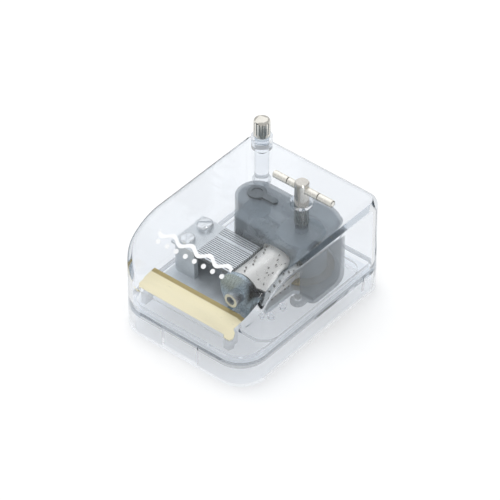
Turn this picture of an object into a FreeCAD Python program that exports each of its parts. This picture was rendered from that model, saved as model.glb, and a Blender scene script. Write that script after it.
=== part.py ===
import FreeCAD, Part
import Sketcher
import math
import os
import re

from FreeCAD import Placement, Rotation, Vector

# Wind-up music box: a clear domed case over a tray, with a pinned-cylinder movement inside.
# Frame: origin at the bottom centre of the case, +X to the right along the front, +Y to the back, +Z up.
# All lengths are in millimetres and all angles in degrees.

SIZES = {
    # Case
    "case_width": 54.0,
    "case_depth": 69.5,
    "case_height": 38.0,
    "seam_height": 9.0,
    "wall": 2.0,
    "dome_radius": 21.0,
    "dome_overhang": 0.15,
    "front_corner": 10.0,
    "back_corner": 5.0,
    "corner_rest": 0.8,
    "floor_top": 8.0,
    "floor_thick": 1.6,
    "lip_height": 1.6,
    "lip_thick": 1.2,
    "snap_gap": 0.15,
    "grip_width": 14.6,
    "grip_depth": 0.9,
    "grip_bottom": 1.2,
    "slit_width": 0.6,
    "slit_depth": 0.8,
    "slit_length": 5.4,
    "slit_y": 24.3,
    "slit_tilt": 11.0,
    # Deck of the tray under the movement
    "deck_thick": 1.2,
    "deck_left": -23.2,
    "deck_right": 22.6,
    "deck_front": -19.2,
    "deck_back": 29.2,
    "deck_corner": 5.0,
    "post_radius": 1.3,
    "post_bore": 0.6,
    "post_height": 1.5,
    "post_x": 15.4,
    "post_front_y": -9.0,
    "post_back_y": -3.2,
    # Name plate and its stand
    "plate_side": 3.7,
    "plate_length": 38.4,
    "plate_width": 9.5,
    "plate_thick": 0.5,
    "plate_inset": 6.15,
    "plate_front_z": 13.2,
    "plate_tilt": 7.5,
    "plate_corner": 1.4,
    "stand_thick": 1.0,
    "stand_inset": 0.3,
    "leg_thick": 2.0,
    "leg_depth": 4.8,
    "leg_inset": 0.7,
    # Main axes of the movement
    "key_x": 8.8,
    "key_y": 15.3,
    "cylinder_z": 19.0,
    "lobe_y": 17.2,
    "run_gap": 0.05,
    "seat_gap": 0.02,
    "clear_gap": 0.3,
    # Bed plate
    "bed_thick": 1.6,
    "bed_side": 4.6,
    "bed_right": 13.4,
    "bed_lip": 0.4,
    "bed_corner": 3.0,
    "bridge_left": -8.0,
    "thrust_radius": 2.4,
    # Comb
    "comb_teeth": 18,
    "comb_pitch": 0.84,
    "comb_slot": 0.24,
    "comb_margin": 0.08,
    "comb_edge": 0.1,
    "comb_thick": 1.0,
    "comb_top": 22.0,
    "comb_heel": 9.6,
    "comb_screw_inset": 4.0,
    "comb_screw_spacing": 8.5,
    "weight_count": 6,
    "weight_length": 3.2,
    "weight_height": 1.2,
    "tip_gap": 0.18,
    # Pinned cylinder
    "cylinder_radius": 6.5,
    "cylinder_wall": 0.9,
    "drum_margin": 0.9,
    "cylinder_back": 3.3,
    "cylinder_end_thick": 0.8,
    "pin_height": 0.5,
    "pin_side": 0.4,
    "arbor_radius": 0.8,
    # Cylinder bearings
    "bearing_radius": 7.6,
    "bearing_thick": 1.4,
    "bearing_gap": 1.2,
    "bearing_leg": 4.0,
    "foot_length": 2.6,
    "foot_thick": 1.2,
    "bush_radius": 2.5,
    "bush_length": 4.0,
    "bush_spigot": 1.6,
    "bush_mouth": 1.5,
    "post_thick": 1.2,
    "post_half": 3.6,
    # Wheels
    "tooth_module": 0.4,
    "tooth_tip": 0.3,
    "tooth_root": 0.4,
    "tooth_bury": 0.12,
    "crown_relief": 0.04,
    "tip_half": 0.14,
    "root_half": 0.3,
    "gear_width": 1.6,
    "crown_teeth": 45,
    "cylinder_teeth": 31,
    "idler_teeth": 19,
    "pinion_teeth": 8,
    "wheel_teeth": 18,
    "worm_radius": 1.6,
    "worm_turns": 2.25,
    "idler_angle": 10.0,
    "pinion_angle": 22.4,
    "governor_radius": 0.6,
    "fly_radius": 0.5,
    "fly_foot": 0.8,
    # Spring barrel
    "great_thick": 1.1,
    "great_rim": 0.2,
    "barrel_radius": 7.5,
    "barrel_height": 11.3,
    "barrel_wall": 0.7,
    "winding_radius": 1.5,
    "pivot_radius": 0.9,
    "spring_thick": 0.3,
    "spring_turns": 3,
    "spring_margin": 0.4,
    "clutch_radius": 2.2,
    "clutch_height": 2.2,
    # Smoke-grey housing
    "housing_top": 28.3,
    "housing_roof": 1.2,
    "housing_wall": 1.0,
    "housing_front": 4.1,
    "housing_left": -11.2,
    "housing_corner": 2.4,
    "housing_edge": 0.7,
    "drum_radius": 13.2,
    "lobe_radius": 7.2,
    "arch_radius": 7.5,
    "ear_radius": 2.5,
    "ear_thick": 1.4,
    "ear_x": 17.2,
    "ear_reach": 2.0,
    # Train bracket
    "bracket_thick": 1.0,
    "bracket_gap": 0.8,
    "bracket_left": -9.5,
    "bracket_right": 0.4,
    "flange_right": -1.6,
    "bracket_back_y": 20.0,
    "bracket_rise": 2.0,
    # Fly of the governor
    "fan_radius": 4.6,
    "fan_blade_z": 19.5,
    "fan_blade_height": 2.1,
    "fan_blade_thick": 0.5,
    "fan_disc_thick": 0.4,
    "fan_hub_radius": 1.2,
    "cap_radius": 3.2,
    "cap_thick": 0.8,
    "cap_dish": 1.9,
    "cap_tail": 7.2,
    "cap_tail_width": 2.4,
    # Winding key
    "hub_radius": 2.4,
    "hub_top": 45.9,
    "hub_chamfer": 0.35,
    "key_hole_radius": 3.75,
    "bar_radius": 1.27,
    "bar_length": 24.0,
    "bar_z": 43.4,
    "bar_shift": 0.65,
    "bar_groove": 6.25,
    "bar_groove_width": 0.5,
    "bar_groove_depth": 0.3,
    "bar_bevel": 0.2,
    "arbor_grip": 7.5,
    # Stop control
    "stop_side": 8.5,
    "stop_back": 6.45,
    "stop_radius": 2.4,
    "stop_travel": 3.0,
    "collar_radius": 3.5,
    "collar_top": 42.5,
    "guide_radius": 3.2,
    "guide_top": 14.0,
    "stop_foot": 9.0,
    "knob_radius": 2.8,
    "knob_bottom": 42.9,
    "knob_top": 49.3,
    "knob_dome": 0.9,
    "knob_flutes": 16,
    "knob_flute_depth": 0.22,
    "knob_flute_half": 0.48,
    "knob_skirt": 1.0,
    "knob_spigot": 1.5,
    "knob_grip": 3.0,
    "arm_width": 2.2,
    "arm_thick": 1.0,
    "arm_ring": 0.7,
    "pad_radius": 1.1,
    "pad_thick": 0.6,
    "pad_gap": 0.15,
    "pad_reach": 3.1,
    # Comb screws
    "screw_radius": 1.0,
    "screw_head": 2.6,
    "screw_height": 1.7,
    "screw_length": 3.0,
}

# Places that follow from the sizes, as formulas
TOP_ROUND = "(back_corner - corner_rest)"
STOP_X = "(stop_side - case_width/2)"
STOP_Y = "(case_depth/2 - stop_back)"
PLATE_LEFT = "(plate_side - case_width/2)"
PLATE_FRONT = "(plate_inset - case_depth/2)"
BED_LEFT = "(bed_side - case_width/2)"
COMB_SCREW_X = f"({BED_LEFT} + comb_screw_inset)"
BED_Z = "(floor_top + deck_thick)"
BED_TOP = f"({BED_Z} + bed_thick)"
PITCH_CYLINDER = "(cylinder_teeth*tooth_module/2)"
PITCH_CROWN = "(crown_teeth*tooth_module/2)"
PITCH_IDLER = "(idler_teeth*tooth_module/2)"
PITCH_PINION = "(pinion_teeth*tooth_module/2)"
PITCH_WHEEL = "(wheel_teeth*tooth_module/2)"
GEAR_Y = f"(key_y - {PITCH_CROWN})"
GEAR_FRONT = f"({GEAR_Y} - gear_width/2)"
GEAR_BACK = f"({GEAR_Y} + gear_width/2)"
IDLER_X = f"(key_x - ({PITCH_CYLINDER} + {PITCH_IDLER})*cos(idler_angle))"
IDLER_Z = f"(cylinder_z - ({PITCH_CYLINDER} + {PITCH_IDLER})*sin(idler_angle))"
GOVERNOR_X = f"({IDLER_X} - ({PITCH_IDLER} + {PITCH_PINION})*cos(pinion_angle))"
GOVERNOR_Z = f"({IDLER_Z} - ({PITCH_IDLER} + {PITCH_PINION})*sin(pinion_angle))"
WORM_X = f"({GOVERNOR_X} - {PITCH_WHEEL} - worm_radius)"
CROWN_Z = f"(cylinder_z - {PITCH_CYLINDER})"
GREAT_TOP = f"({CROWN_Z} - tooth_root - crown_relief)"
GREAT_BOTTOM = f"({GREAT_TOP} - great_thick)"
LID_BOTTOM = f"({GREAT_TOP} + barrel_height)"
LID_TOP = f"({LID_BOTTOM} + barrel_wall)"
ROOF_BOTTOM = "(housing_top - housing_roof)"
COMB_BACK = "(cylinder_back - comb_margin)"
COMB_FRONT = f"({COMB_BACK} - comb_teeth*comb_pitch - 2*comb_edge)"
CYLINDER_FRONT = f"({COMB_FRONT} - drum_margin)"
BEARING_BACK = f"({CYLINDER_FRONT} - bearing_gap)"
BEARING_FRONT = f"({BEARING_BACK} - bearing_thick)"
BED_FRONT = f"({BEARING_FRONT} - foot_length - bed_lip)"
POST_FRONT = "(cylinder_back + clear_gap)"
POST_BACK = f"({POST_FRONT} + post_thick)"
BRACKET_Y = f"({GEAR_BACK} + bracket_gap)"
BRACKET_BACK = "(bracket_back_y + bracket_thick)"
FAN_TOP = "(fan_blade_z + fan_blade_height + fan_disc_thick)"
PAD_Z = f"({FAN_TOP} + pad_gap)"
ARM_Z = f"({PAD_Z} + pad_thick)"
COMB_BOTTOM = "(comb_top - comb_thick)"
COMB_MIDDLE = f"(({COMB_FRONT} + {COMB_BACK})/2)"
COMB_ROOT = f"({BED_LEFT} + comb_heel)"
PIN_REACH = "(cylinder_radius + pin_height + tip_gap)"
TIP_X = f"(key_x - sqrt(({PIN_REACH})^2 - ({COMB_BOTTOM} - cylinder_z)^2))"
HUB_BOTTOM = "(housing_top + clear_gap)"
ARBOR_TOP = f"({HUB_BOTTOM} + arbor_grip)"
DRUM_RIGHT = "(key_x + drum_radius)"
BACK_FLAT = "(lobe_y + lobe_radius)"
STOP_SPAN = f"(sqrt(({WORM_X} - {STOP_X})^2 + (lobe_y - {STOP_Y})^2))"
COMB_SCREWS = [f"{COMB_MIDDLE} - comb_screw_spacing/2", f"{COMB_MIDDLE} + comb_screw_spacing/2"]

# The tune: how many pins each tooth has, and the counting rule that spreads them round the cylinder
PINS_PER_TRACK = 3
PIN_BEATS = 48
PIN_STRIDE = 7
PIN_SKIP = 13

doc = FreeCAD.newDocument("music_box")
sheet = doc.addObject("Spreadsheet::Sheet", "dim")
for row, (alias, value) in enumerate(SIZES.items(), start=1):
    sheet.set(f"A{row}", alias)
    sheet.set(f"B{row}", str(value))
    sheet.setAlias(f"B{row}", alias)
doc.recompute()

WORD = re.compile(r"[a-z][a-z_]+")
AXIS_TURN = {
    "x": Rotation(Vector(0, 1, 0), 90),
    "y": Rotation(Vector(1, 0, 0), -90),
    "z": Rotation(),
}
FACING_FRONT = Rotation(Vector(1, 0, 0), 90)
NODES = {}


# Helpers that tie objects to the sheet

def linked(text):
    """Give a formula with each size name turned into a reference to its cell."""
    return WORD.sub(lambda hit: f"dim.{hit.group()}" if hit.group() in SIZES else hit.group(), str(text))


def number(text):
    """Work out a formula now."""
    return float(sheet.evalExpression(linked(text)))


def bind(thing, prop, text):
    """Tie one property of an object to a formula."""
    thing.setExpression(prop, linked(text))


def node(name, thing):
    """Name a finished sub-part."""
    thing.Label = name
    NODES[name] = thing
    return thing


def place(thing, x, y, z, turn=None):
    """Put an object at a point, turned as given."""
    thing.Placement = Placement(Vector(), turn or Rotation())
    for axis, text in zip("xyz", (x, y, z)):
        bind(thing, f"Placement.Base.{axis}", text)
    return thing


def box(x, y, z):
    """Make a block from a (low, high) pair of formulas along each axis."""
    solid = doc.addObject("Part::Box", "Block")
    for axis, side, (low, high) in zip("xyz", ("Length", "Width", "Height"), (x, y, z)):
        bind(solid, side, f"({high}) - ({low})")
        bind(solid, f"Placement.Base.{axis}", low)
    return solid


def rod(x, y, z, radius):
    """Make a round bar along the one axis whose place is a (low, high) pair."""
    solid = doc.addObject("Part::Cylinder", "Rod")
    bind(solid, "Radius", radius)
    for axis, spot in zip("xyz", (x, y, z)):
        if isinstance(spot, tuple):
            low, high = spot
            solid.Placement = Placement(Vector(), AXIS_TURN[axis])
            bind(solid, "Height", f"({high}) - ({low})")
            spot = low
        bind(solid, f"Placement.Base.{axis}", spot)
    return solid


def fuse(*solids):
    """Join solids into one."""
    joined = doc.addObject("Part::MultiFuse", "Join")
    joined.Shapes = list(solids)
    joined.Refine = True
    return joined


def cut(base, *tools):
    """Take tools away from a base."""
    result = doc.addObject("Part::Cut", "Cut")
    result.Base = base
    result.Tool = tools[0] if len(tools) == 1 else fuse(*tools)
    result.Refine = True
    return result


def overlap(first, second):
    """Keep what two solids share."""
    shared = doc.addObject("Part::MultiCommon", "Shared")
    shared.Shapes = [first, second]
    return shared


def group(*solids):
    """Hold like pieces as separate solids in one sub-part."""
    held = doc.addObject("Part::Compound", "Group")
    held.Links = list(solids)
    return held


def rounded(base, radius, chosen):
    """Round the edges of a solid that a test picks."""
    doc.recompute()
    result = doc.addObject("Part::Fillet", "Round")
    result.Base = base
    size = number(radius)
    result.Edges = [(k, size, size) for k, edge in enumerate(base.Shape.Edges, start=1) if chosen(edge)]
    return result


def bevelled(base, size, chosen):
    """Bevel the edges of a solid that a test picks."""
    doc.recompute()
    result = doc.addObject("Part::Chamfer", "Bevel")
    result.Base = base
    width = number(size)
    result.Edges = [(k, width, width) for k, edge in enumerate(base.Shape.Edges, start=1) if chosen(edge)]
    return result


def is_upright(edge):
    """Tell whether an edge is a straight vertical line."""
    ends = [vertex.Point for vertex in edge.Vertexes]
    return len(ends) == 2 and (ends[0] - ends[1]).cross(Vector(0, 0, 1)).Length < 1e-6


def upright_at(x, y):
    """Make a test for the vertical edge at a plan point."""
    spot = Vector(number(x), number(y), 0)

    def chosen(edge):
        middle = edge.CenterOfMass
        return is_upright(edge) and (Vector(middle.x, middle.y, 0) - spot).Length < 1e-4

    return chosen


def new_body(name):
    """Start a body for a sub-part that is made by sketches and features."""
    return doc.addObject("PartDesign::Body", name)


def origin_part(body, role):
    """Find an origin plane or axis of a body."""
    return next(part for part in body.Origin.OriginFeatures if part.Role == role)


def new_sketch(body, role, depth="0"):
    """Start a sketch on an origin plane of its body, raised along the plane's normal."""
    sketch = body.newObject("Sketcher::SketchObject", "Sketch")
    sketch.AttachmentSupport = (origin_part(body, role), [""])
    sketch.MapMode = "FlatFace"
    bind(sketch, "AttachmentOffset.Base.z", depth)
    return sketch


def draw_outline(sketch, corners):
    """Draw a closed outline of straight lines, each corner tied to its two formulas."""
    spots = [Vector(number(x), number(y), 0) for x, y in corners]
    first = sketch.GeometryCount
    count = len(spots)
    for k in range(count):
        sketch.addGeometry(Part.LineSegment(spots[k], spots[(k + 1) % count]), False)
    for k in range(count):
        sketch.addConstraint(Sketcher.Constraint("Coincident", first + k, 2, first + (k + 1) % count, 1))
    for k, (x, y) in enumerate(corners):
        for kind, text, value in (("DistanceX", x, spots[k].x), ("DistanceY", y, spots[k].y)):
            index = sketch.addConstraint(Sketcher.Constraint(kind, -1, 1, first + k, 1, value))
            sketch.setExpression(f"Constraints[{index}]", linked(text))


def draw_circle(sketch, radius):
    """Draw a circle about the sketch's origin."""
    size = number(radius)
    index = sketch.addGeometry(Part.Circle(Vector(), Vector(0, 0, 1), size), False)
    sketch.addConstraint(Sketcher.Constraint("Coincident", index, 3, -1, 1))
    tie = sketch.addConstraint(Sketcher.Constraint("Radius", index, size))
    sketch.setExpression(f"Constraints[{tie}]", linked(radius))


def pad(body, sketch, length):
    """Raise a sketch into a solid along its normal."""
    feature = body.newObject("PartDesign::Pad", "Pad")
    feature.Profile = sketch
    bind(feature, "Length", length)
    return feature


def turned(name, profile):
    """Make a turned sub-part about Z from a closed (radius, height) profile."""
    body = new_body(name)
    sketch = new_sketch(body, "XZ_Plane")
    draw_outline(sketch, profile)
    feature = body.newObject("PartDesign::Revolution", "Revolution")
    feature.Profile = sketch
    feature.ReferenceAxis = (sketch, ["V_Axis"])
    feature.Angle = 360
    return body


def ring_of(body, feature, count):
    """Repeat a feature evenly around the body's Z axis."""
    pattern = body.newObject("PartDesign::PolarPattern", "Pattern")
    pattern.Originals = [feature]
    pattern.Axis = (origin_part(body, "Z_Axis"), [""])
    pattern.Angle = 360
    bind(pattern, "Occurrences", count)
    body.Tip = pattern
    return pattern


def sleeve(name, outer, inner, length):
    """Make a plain ring about Z, standing on its own XY plane."""
    return turned(name, [(inner, "0"), (outer, "0"), (outer, length), (inner, length)])


def comb_screw(y):
    """Make a screw with its head on the comb and its shank down into the comb's bed."""
    body = turned("Screw", [
        ("0", "0 - screw_length"),
        ("screw_radius", "0 - screw_length"),
        ("screw_radius", "0"),
        ("screw_head", "0"),
        ("screw_head", "screw_height/2"),
        ("screw_head/2", "screw_height"),
        ("0", "screw_height"),
    ])
    return place(body, COMB_SCREW_X, y, "comb_top")


# Case: tray and cover

def plan_prism(inset, low, high):
    """Make the case's plan, drawn in by an inset, between two heights."""
    half = f"(case_width/2 - ({inset}))"
    end = f"(case_depth/2 - ({inset}))"
    block = box((f"0 - {half}", half), (f"0 - {end}", end), (low, high))
    front = rounded(block, f"front_corner - ({inset})",
                    lambda edge: is_upright(edge) and edge.CenterOfMass.y < 0)
    return rounded(front, f"back_corner - ({inset})", lambda edge: is_corner_at_back(edge, inset))


def is_corner_at_back(edge, inset):
    """Tell whether an edge is one of the plan's two back corners."""
    end = number(f"case_depth/2 - ({inset})")
    return is_upright(edge) and abs(edge.CenterOfMass.y - end) < 1e-6


def domed_prism(inset, low):
    """Make the case's side profile across its width: flat top, upright back and a round front.

    The round stands a hair proud of the front wall, so that it meets the wall along a clean edge.
    """
    half = f"(case_width/2 - ({inset}))"
    end = f"(case_depth/2 - ({inset}))"
    front = f"(0 - {end} - dome_overhang)"
    top = f"case_height - ({inset})"
    block = box((f"0 - {half}", half), (front, end), (low, top))
    crest = Vector(0, number(front), number(top))
    return rounded(block, f"dome_radius - ({inset})",
                   lambda edge: (edge.CenterOfMass - crest).Length < 1e-6)


def is_top_rim(edge):
    """Tell whether an edge runs round the top of the cover, where the roof and the dome meet the walls."""
    crest = number("dome_radius - case_depth/2 - dome_overhang")
    on_crest = all(abs(vertex.Y - crest) < 1e-6 for vertex in edge.Vertexes)
    shoulder = number("case_height - dome_radius")
    return min(vertex.Z for vertex in edge.Vertexes) > shoulder and not on_crest


def make_tray():
    """Clear plinth: an inverted tray with a locating lip, a deck, ring posts and the stop guide."""
    under = "(floor_top - floor_thick)"
    lip_top = "(seam_height + lip_height)"
    lip_outer = "(wall + snap_gap)"
    lip_inner = f"({lip_outer} + lip_thick)"
    shell = cut(
        fuse(plan_prism("0", "0", "seam_height"), plan_prism(lip_outer, "floor_top", lip_top)),
        plan_prism(lip_inner, "floor_top", f"{lip_top} + wall"),
        plan_prism("wall", "0 - wall", under),
    )
    deck = box(("deck_left", "deck_right"), ("deck_front", "deck_back"), ("floor_top", BED_Z))
    deck = rounded(deck, "deck_corner", is_upright)
    post_top = f"{BED_Z} + post_height"
    post_spots = ("post_front_y", "post_back_y")
    posts = [rod("post_x", y, (BED_Z, post_top), "post_radius") for y in post_spots]
    bores = [rod("post_x", y, (BED_Z, f"{post_top} + wall"), "post_bore") for y in post_spots]
    guide = rod(STOP_X, STOP_Y, ("floor_top", "guide_top"), "guide_radius")
    guide_bore = rod(STOP_X, STOP_Y, ("floor_top", "guide_top + wall"), "stop_radius + run_gap")
    grip = box(("0 - grip_width/2", "grip_width/2"),
               ("0 - case_depth/2 - wall", "0 - case_depth/2 + grip_depth"),
               ("grip_bottom", "seam_height + wall"))
    slits = [tray_slit(side) for side in ("1", "-1")]
    return cut(fuse(shell, deck, guide, *posts), guide_bore, grip, *bores, *slits)


def tray_slit(side):
    """Thin leaning slit beside a snap, cut into one side wall of the tray."""
    slit = doc.addObject("Part::Box", "Slit")
    bind(slit, "Length", "2*slit_depth")
    bind(slit, "Width", "slit_width")
    bind(slit, "Height", "slit_length")
    return place(slit, f"({side})*case_width/2 - slit_depth", "slit_y", "seam_height - slit_length",
                 Rotation(Vector(1, 0, 0), -number("slit_tilt")))


def make_cover():
    """Clear domed cover with the key hole and the collar of the stop shaft."""
    outer = overlap(domed_prism("0", "seam_height"), plan_prism("0", "seam_height", "case_height"))
    outer = rounded(outer, TOP_ROUND, is_top_rim)
    inner = overlap(domed_prism("wall", "seam_height - wall"),
                    plan_prism("wall", "seam_height - wall", "case_height - wall"))
    collar = rod(STOP_X, STOP_Y, ("case_height - wall/2", "collar_top"), "collar_radius")
    key_hole = rod("key_x", "key_y", ("case_height - 2*wall", "case_height + wall"), "key_hole_radius")
    stop_hole = rod(STOP_X, STOP_Y, ("case_height - 2*wall", "collar_top + wall"),
                    "stop_radius + run_gap")
    return cut(fuse(cut(outer, inner), collar), key_hole, stop_hole)


def tilted(thing, lift):
    """Lay a piece along the name plate's slope, raised above the plate's underside."""
    tilt = number("plate_tilt")
    return place(thing, PLATE_LEFT, f"{PLATE_FRONT} - ({lift})*sin(plate_tilt)",
                 f"plate_front_z + ({lift})*cos(plate_tilt)", Rotation(Vector(1, 0, 0), tilt))


def make_name_plate():
    """Gold plate with its front left corner clipped."""
    body = new_body("NamePlate")
    sketch = new_sketch(body, "XY_Plane")
    draw_outline(sketch, [
        ("plate_corner", "0"),
        ("plate_length", "0"),
        ("plate_length", "plate_width"),
        ("0", "plate_width"),
        ("0", "plate_corner"),
    ])
    pad(body, sketch, "plate_thick")
    return tilted(body, "0")


def make_label_holder():
    """Clear stand: a sloping shelf on two upright legs."""
    shelf = doc.addObject("Part::Box", "Shelf")
    bind(shelf, "Length", "plate_length - 2*stand_inset")
    bind(shelf, "Width", "plate_width - 2*stand_inset")
    bind(shelf, "Height", "stand_thick")
    tilted(shelf, "0 - stand_thick")
    bind(shelf, "Placement.Base.x", f"{PLATE_LEFT} + stand_inset")
    bind(shelf, "Placement.Base.y",
         f"{PLATE_FRONT} + stand_thick*sin(plate_tilt) + stand_inset*cos(plate_tilt)")
    bind(shelf, "Placement.Base.z",
         "plate_front_z - stand_thick*cos(plate_tilt) + stand_inset*sin(plate_tilt)")
    left = f"({PLATE_LEFT} + leg_inset + plate_corner)"
    right = f"({PLATE_LEFT} + plate_length - leg_inset - leg_thick)"
    front = f"({PLATE_FRONT} + leg_inset)"
    depth = (front, f"{front} + leg_depth")
    height = ("floor_top", "plate_front_z - stand_thick/2")
    legs = [box((x, f"{x} + leg_thick"), depth, height) for x in (left, right)]
    return fuse(shelf, *legs)


# Movement: bed plate and comb

def housing_prism(inset, low, high):
    """Make the housing's plan, drawn in by an inset, between two heights."""
    left = f"housing_left + ({inset})"
    front = f"housing_front + ({inset})"
    height = (low, high)
    return fuse(
        box((left, f"{DRUM_RIGHT} - ({inset})"), (front, "key_y"), height),
        box((left, "key_x"), (front, f"{BACK_FLAT} - ({inset})"), height),
        rod("key_x", "key_y", height, f"drum_radius - ({inset})"),
        rod(WORM_X, "lobe_y", height, f"lobe_radius - ({inset})"),
    )


def make_frame():
    """Cast bed plate with the comb bed, the cylinder's rear post and the barrel's thrust boss."""
    height = (BED_Z, BED_TOP)
    front = box((BED_LEFT, "bed_right"), (BED_FRONT, "housing_front - clear_gap"), height)
    front = rounded(front, "bed_corner", lambda edge: is_upright(edge) and edge.CenterOfMass.y < 0)
    inset = "(housing_wall + clear_gap)"
    bridge = box(("bridge_left", "bed_right"), ("housing_front - 2*clear_gap", f"housing_front + 2*{inset}"),
                 height)
    bed = box((BED_LEFT, COMB_ROOT), (COMB_FRONT, COMB_BACK), (BED_Z, COMB_BOTTOM))
    bed_side = number(BED_LEFT)
    bed = rounded(bed, "bed_corner", lambda edge: is_upright(edge) and edge.CenterOfMass.x < bed_side + 1e-6)
    hollow = box((f"{COMB_ROOT} - comb_heel/2", f"{COMB_ROOT} + wall"),
                 (f"{COMB_FRONT} + wall", f"{COMB_BACK} - wall"), (BED_TOP, f"{COMB_BOTTOM} - wall"))
    post = fuse(
        box(("key_x - post_half", "key_x + post_half"), (POST_FRONT, POST_BACK), (BED_Z, "cylinder_z")),
        rod("key_x", (POST_FRONT, POST_BACK), "cylinder_z", "post_half"),
    )
    boss = rod("key_x", "key_y", (BED_Z, f"{GREAT_BOTTOM} - run_gap"), "thrust_radius")
    arbor_hole = rod("key_x", (f"{POST_FRONT} - wall", f"{POST_BACK} + wall"), "cylinder_z",
                     "arbor_radius + run_gap")
    pivot_hole = rod("key_x", "key_y", (f"{BED_Z} - wall", f"{GREAT_BOTTOM} + wall"),
                     "pivot_radius + run_gap")
    threads = [rod(COMB_SCREW_X, y, ("comb_top - screw_length - clear_gap", f"{COMB_BOTTOM} + wall"),
                   "screw_radius + seat_gap") for y in COMB_SCREWS]
    fly_hole = rod(WORM_X, "lobe_y", (f"{BED_TOP} - fly_foot", f"{BED_TOP} + wall"), "fly_radius + run_gap")
    plate = fuse(front, bridge, housing_prism(inset, BED_Z, BED_TOP), bed, post, boss)
    return cut(plate, hollow, arbor_hole, pivot_hole, fly_hole, *threads)


def make_comb():
    """Steel comb: a thick plate slotted into teeth that point at the cylinder."""
    body = new_body("Comb")
    sketch = new_sketch(body, "XY_Plane", COMB_BOTTOM)
    draw_outline(sketch, [
        (BED_LEFT, COMB_FRONT),
        (TIP_X, COMB_FRONT),
        (TIP_X, COMB_BACK),
        (BED_LEFT, COMB_BACK),
    ])
    pad(body, sketch, "comb_thick")
    slot = new_sketch(body, "XY_Plane", "comb_top")
    low = f"({COMB_FRONT} + comb_edge + comb_pitch - comb_slot/2)"
    draw_outline(slot, [
        (COMB_ROOT, low),
        (f"{TIP_X} + comb_thick", low),
        (f"{TIP_X} + comb_thick", f"{low} + comb_slot"),
        (COMB_ROOT, f"{low} + comb_slot"),
    ])
    pocket = body.newObject("PartDesign::Pocket", "Slot")
    pocket.Profile = slot
    bind(pocket, "Length", "2*comb_thick")
    doc.recompute()
    pattern = body.newObject("PartDesign::LinearPattern", "Slots")
    pattern.Originals = [pocket]
    pattern.Direction = (origin_part(body, "Y_Axis"), [""])
    bind(pattern, "Length", "(comb_teeth - 2)*comb_pitch")
    bind(pattern, "Occurrences", "comb_teeth - 1")
    body.Tip = pattern
    height = (f"{COMB_BOTTOM} - wall", "comb_top + wall")
    holes = [rod(COMB_SCREW_X, y, height, "screw_radius + seat_gap") for y in COMB_SCREWS]
    return cut(body, *holes)


def make_comb_weights():
    """Damping weights under the bass teeth, each a little shorter than the one before."""
    weights = []
    for k in range(int(number("weight_count"))):
        low = f"({COMB_FRONT} + comb_edge + {k}*comb_pitch + comb_slot)"
        back = f"({TIP_X} - weight_length*(1 - {k}/(2*weight_count)))"
        drop = f"({COMB_BOTTOM} - weight_height*(1 - {k}/(2*weight_count)))"
        weights.append(box((back, f"{TIP_X} - pin_side"), (low, f"{low} + comb_pitch - 2*comb_slot"),
                           (drop, COMB_BOTTOM)))
    return group(*weights)


# Movement: pinned cylinder and its bearings

def make_pin_cylinder():
    """Hollow cylinder with a row of pins for each comb tooth, spread by a counting rule."""
    outer = number("cylinder_radius")
    length = number(f"cylinder_back - {CYLINDER_FRONT}")
    tube = Part.makeCylinder(outer, length)
    side = number("pin_side")
    reach = number("pin_height")
    pins = []
    for tooth in range(int(number("comb_teeth"))):
        along = number(f"cylinder_back - ({COMB_FRONT} + comb_edge + ({tooth} + 0.5)*comb_pitch)")
        for step in range(PINS_PER_TRACK):
            angle = 360.0*((tooth*PIN_STRIDE + step*PIN_SKIP) % PIN_BEATS)/PIN_BEATS
            pin = Part.makeBox(2*reach, side, side, Vector(outer - reach, -side/2, along - side/2))
            pin.rotate(Vector(), Vector(0, 0, 1), angle)
            pins.append(pin)
    solid = tube.multiFuse(pins).cut(Part.makeCylinder(outer - number("cylinder_wall"), length))
    feature = doc.addObject("Part::Feature", "PinCylinder")
    feature.Shape = solid
    return place(feature, "key_x", "cylinder_back", "cylinder_z", FACING_FRONT)


def make_cylinder_ends():
    """Two discs that carry the cylinder on its arbor."""
    outer = "cylinder_radius - cylinder_wall - seat_gap"
    discs = []
    for back in ("cylinder_back", f"{CYLINDER_FRONT} + cylinder_end_thick"):
        disc = sleeve("CylinderEnd", outer, "arbor_radius + seat_gap", "cylinder_end_thick")
        discs.append(place(disc, "key_x", back, "cylinder_z", FACING_FRONT))
    return group(*discs)


def make_front_bearing():
    """Round-headed bearing plate on a foot in front of the cylinder."""
    depth = (BEARING_FRONT, BEARING_BACK)
    head = rod("key_x", depth, "cylinder_z", "bearing_radius")
    width = ("key_x - bearing_leg", "key_x + bearing_leg")
    leg = box(width, depth, (BED_TOP, "cylinder_z"))
    foot = box(width, (f"{BEARING_FRONT} - foot_length", BEARING_BACK), (BED_TOP, f"{BED_TOP} + foot_thick"))
    through = (f"{BEARING_FRONT} - wall", f"{BEARING_BACK} + wall")
    bore = rod("key_x", through, "cylinder_z", "bush_spigot + seat_gap")
    under = box(("key_x - 2*bearing_radius", "key_x + 2*bearing_radius"), through, ("0", BED_TOP))
    return cut(fuse(head, leg, foot), bore, under)


def make_bush():
    """Bearing bush with an open mouth in front and a spigot through the bearing plate."""
    bore = "(arbor_radius + run_gap)"
    body = turned("Bush", [
        (bore, "0"),
        ("bush_spigot", "0"),
        ("bush_spigot", "bearing_thick"),
        ("bush_radius", "bearing_thick"),
        ("bush_radius", "bearing_thick + bush_length"),
        ("bush_mouth", "bearing_thick + bush_length"),
        ("bush_mouth", "bearing_thick + bush_length/2"),
        (bore, "bearing_thick + bush_length/2"),
    ])
    return place(body, "key_x", BEARING_BACK, "cylinder_z", FACING_FRONT)


# Movement: toothed wheels

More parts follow.
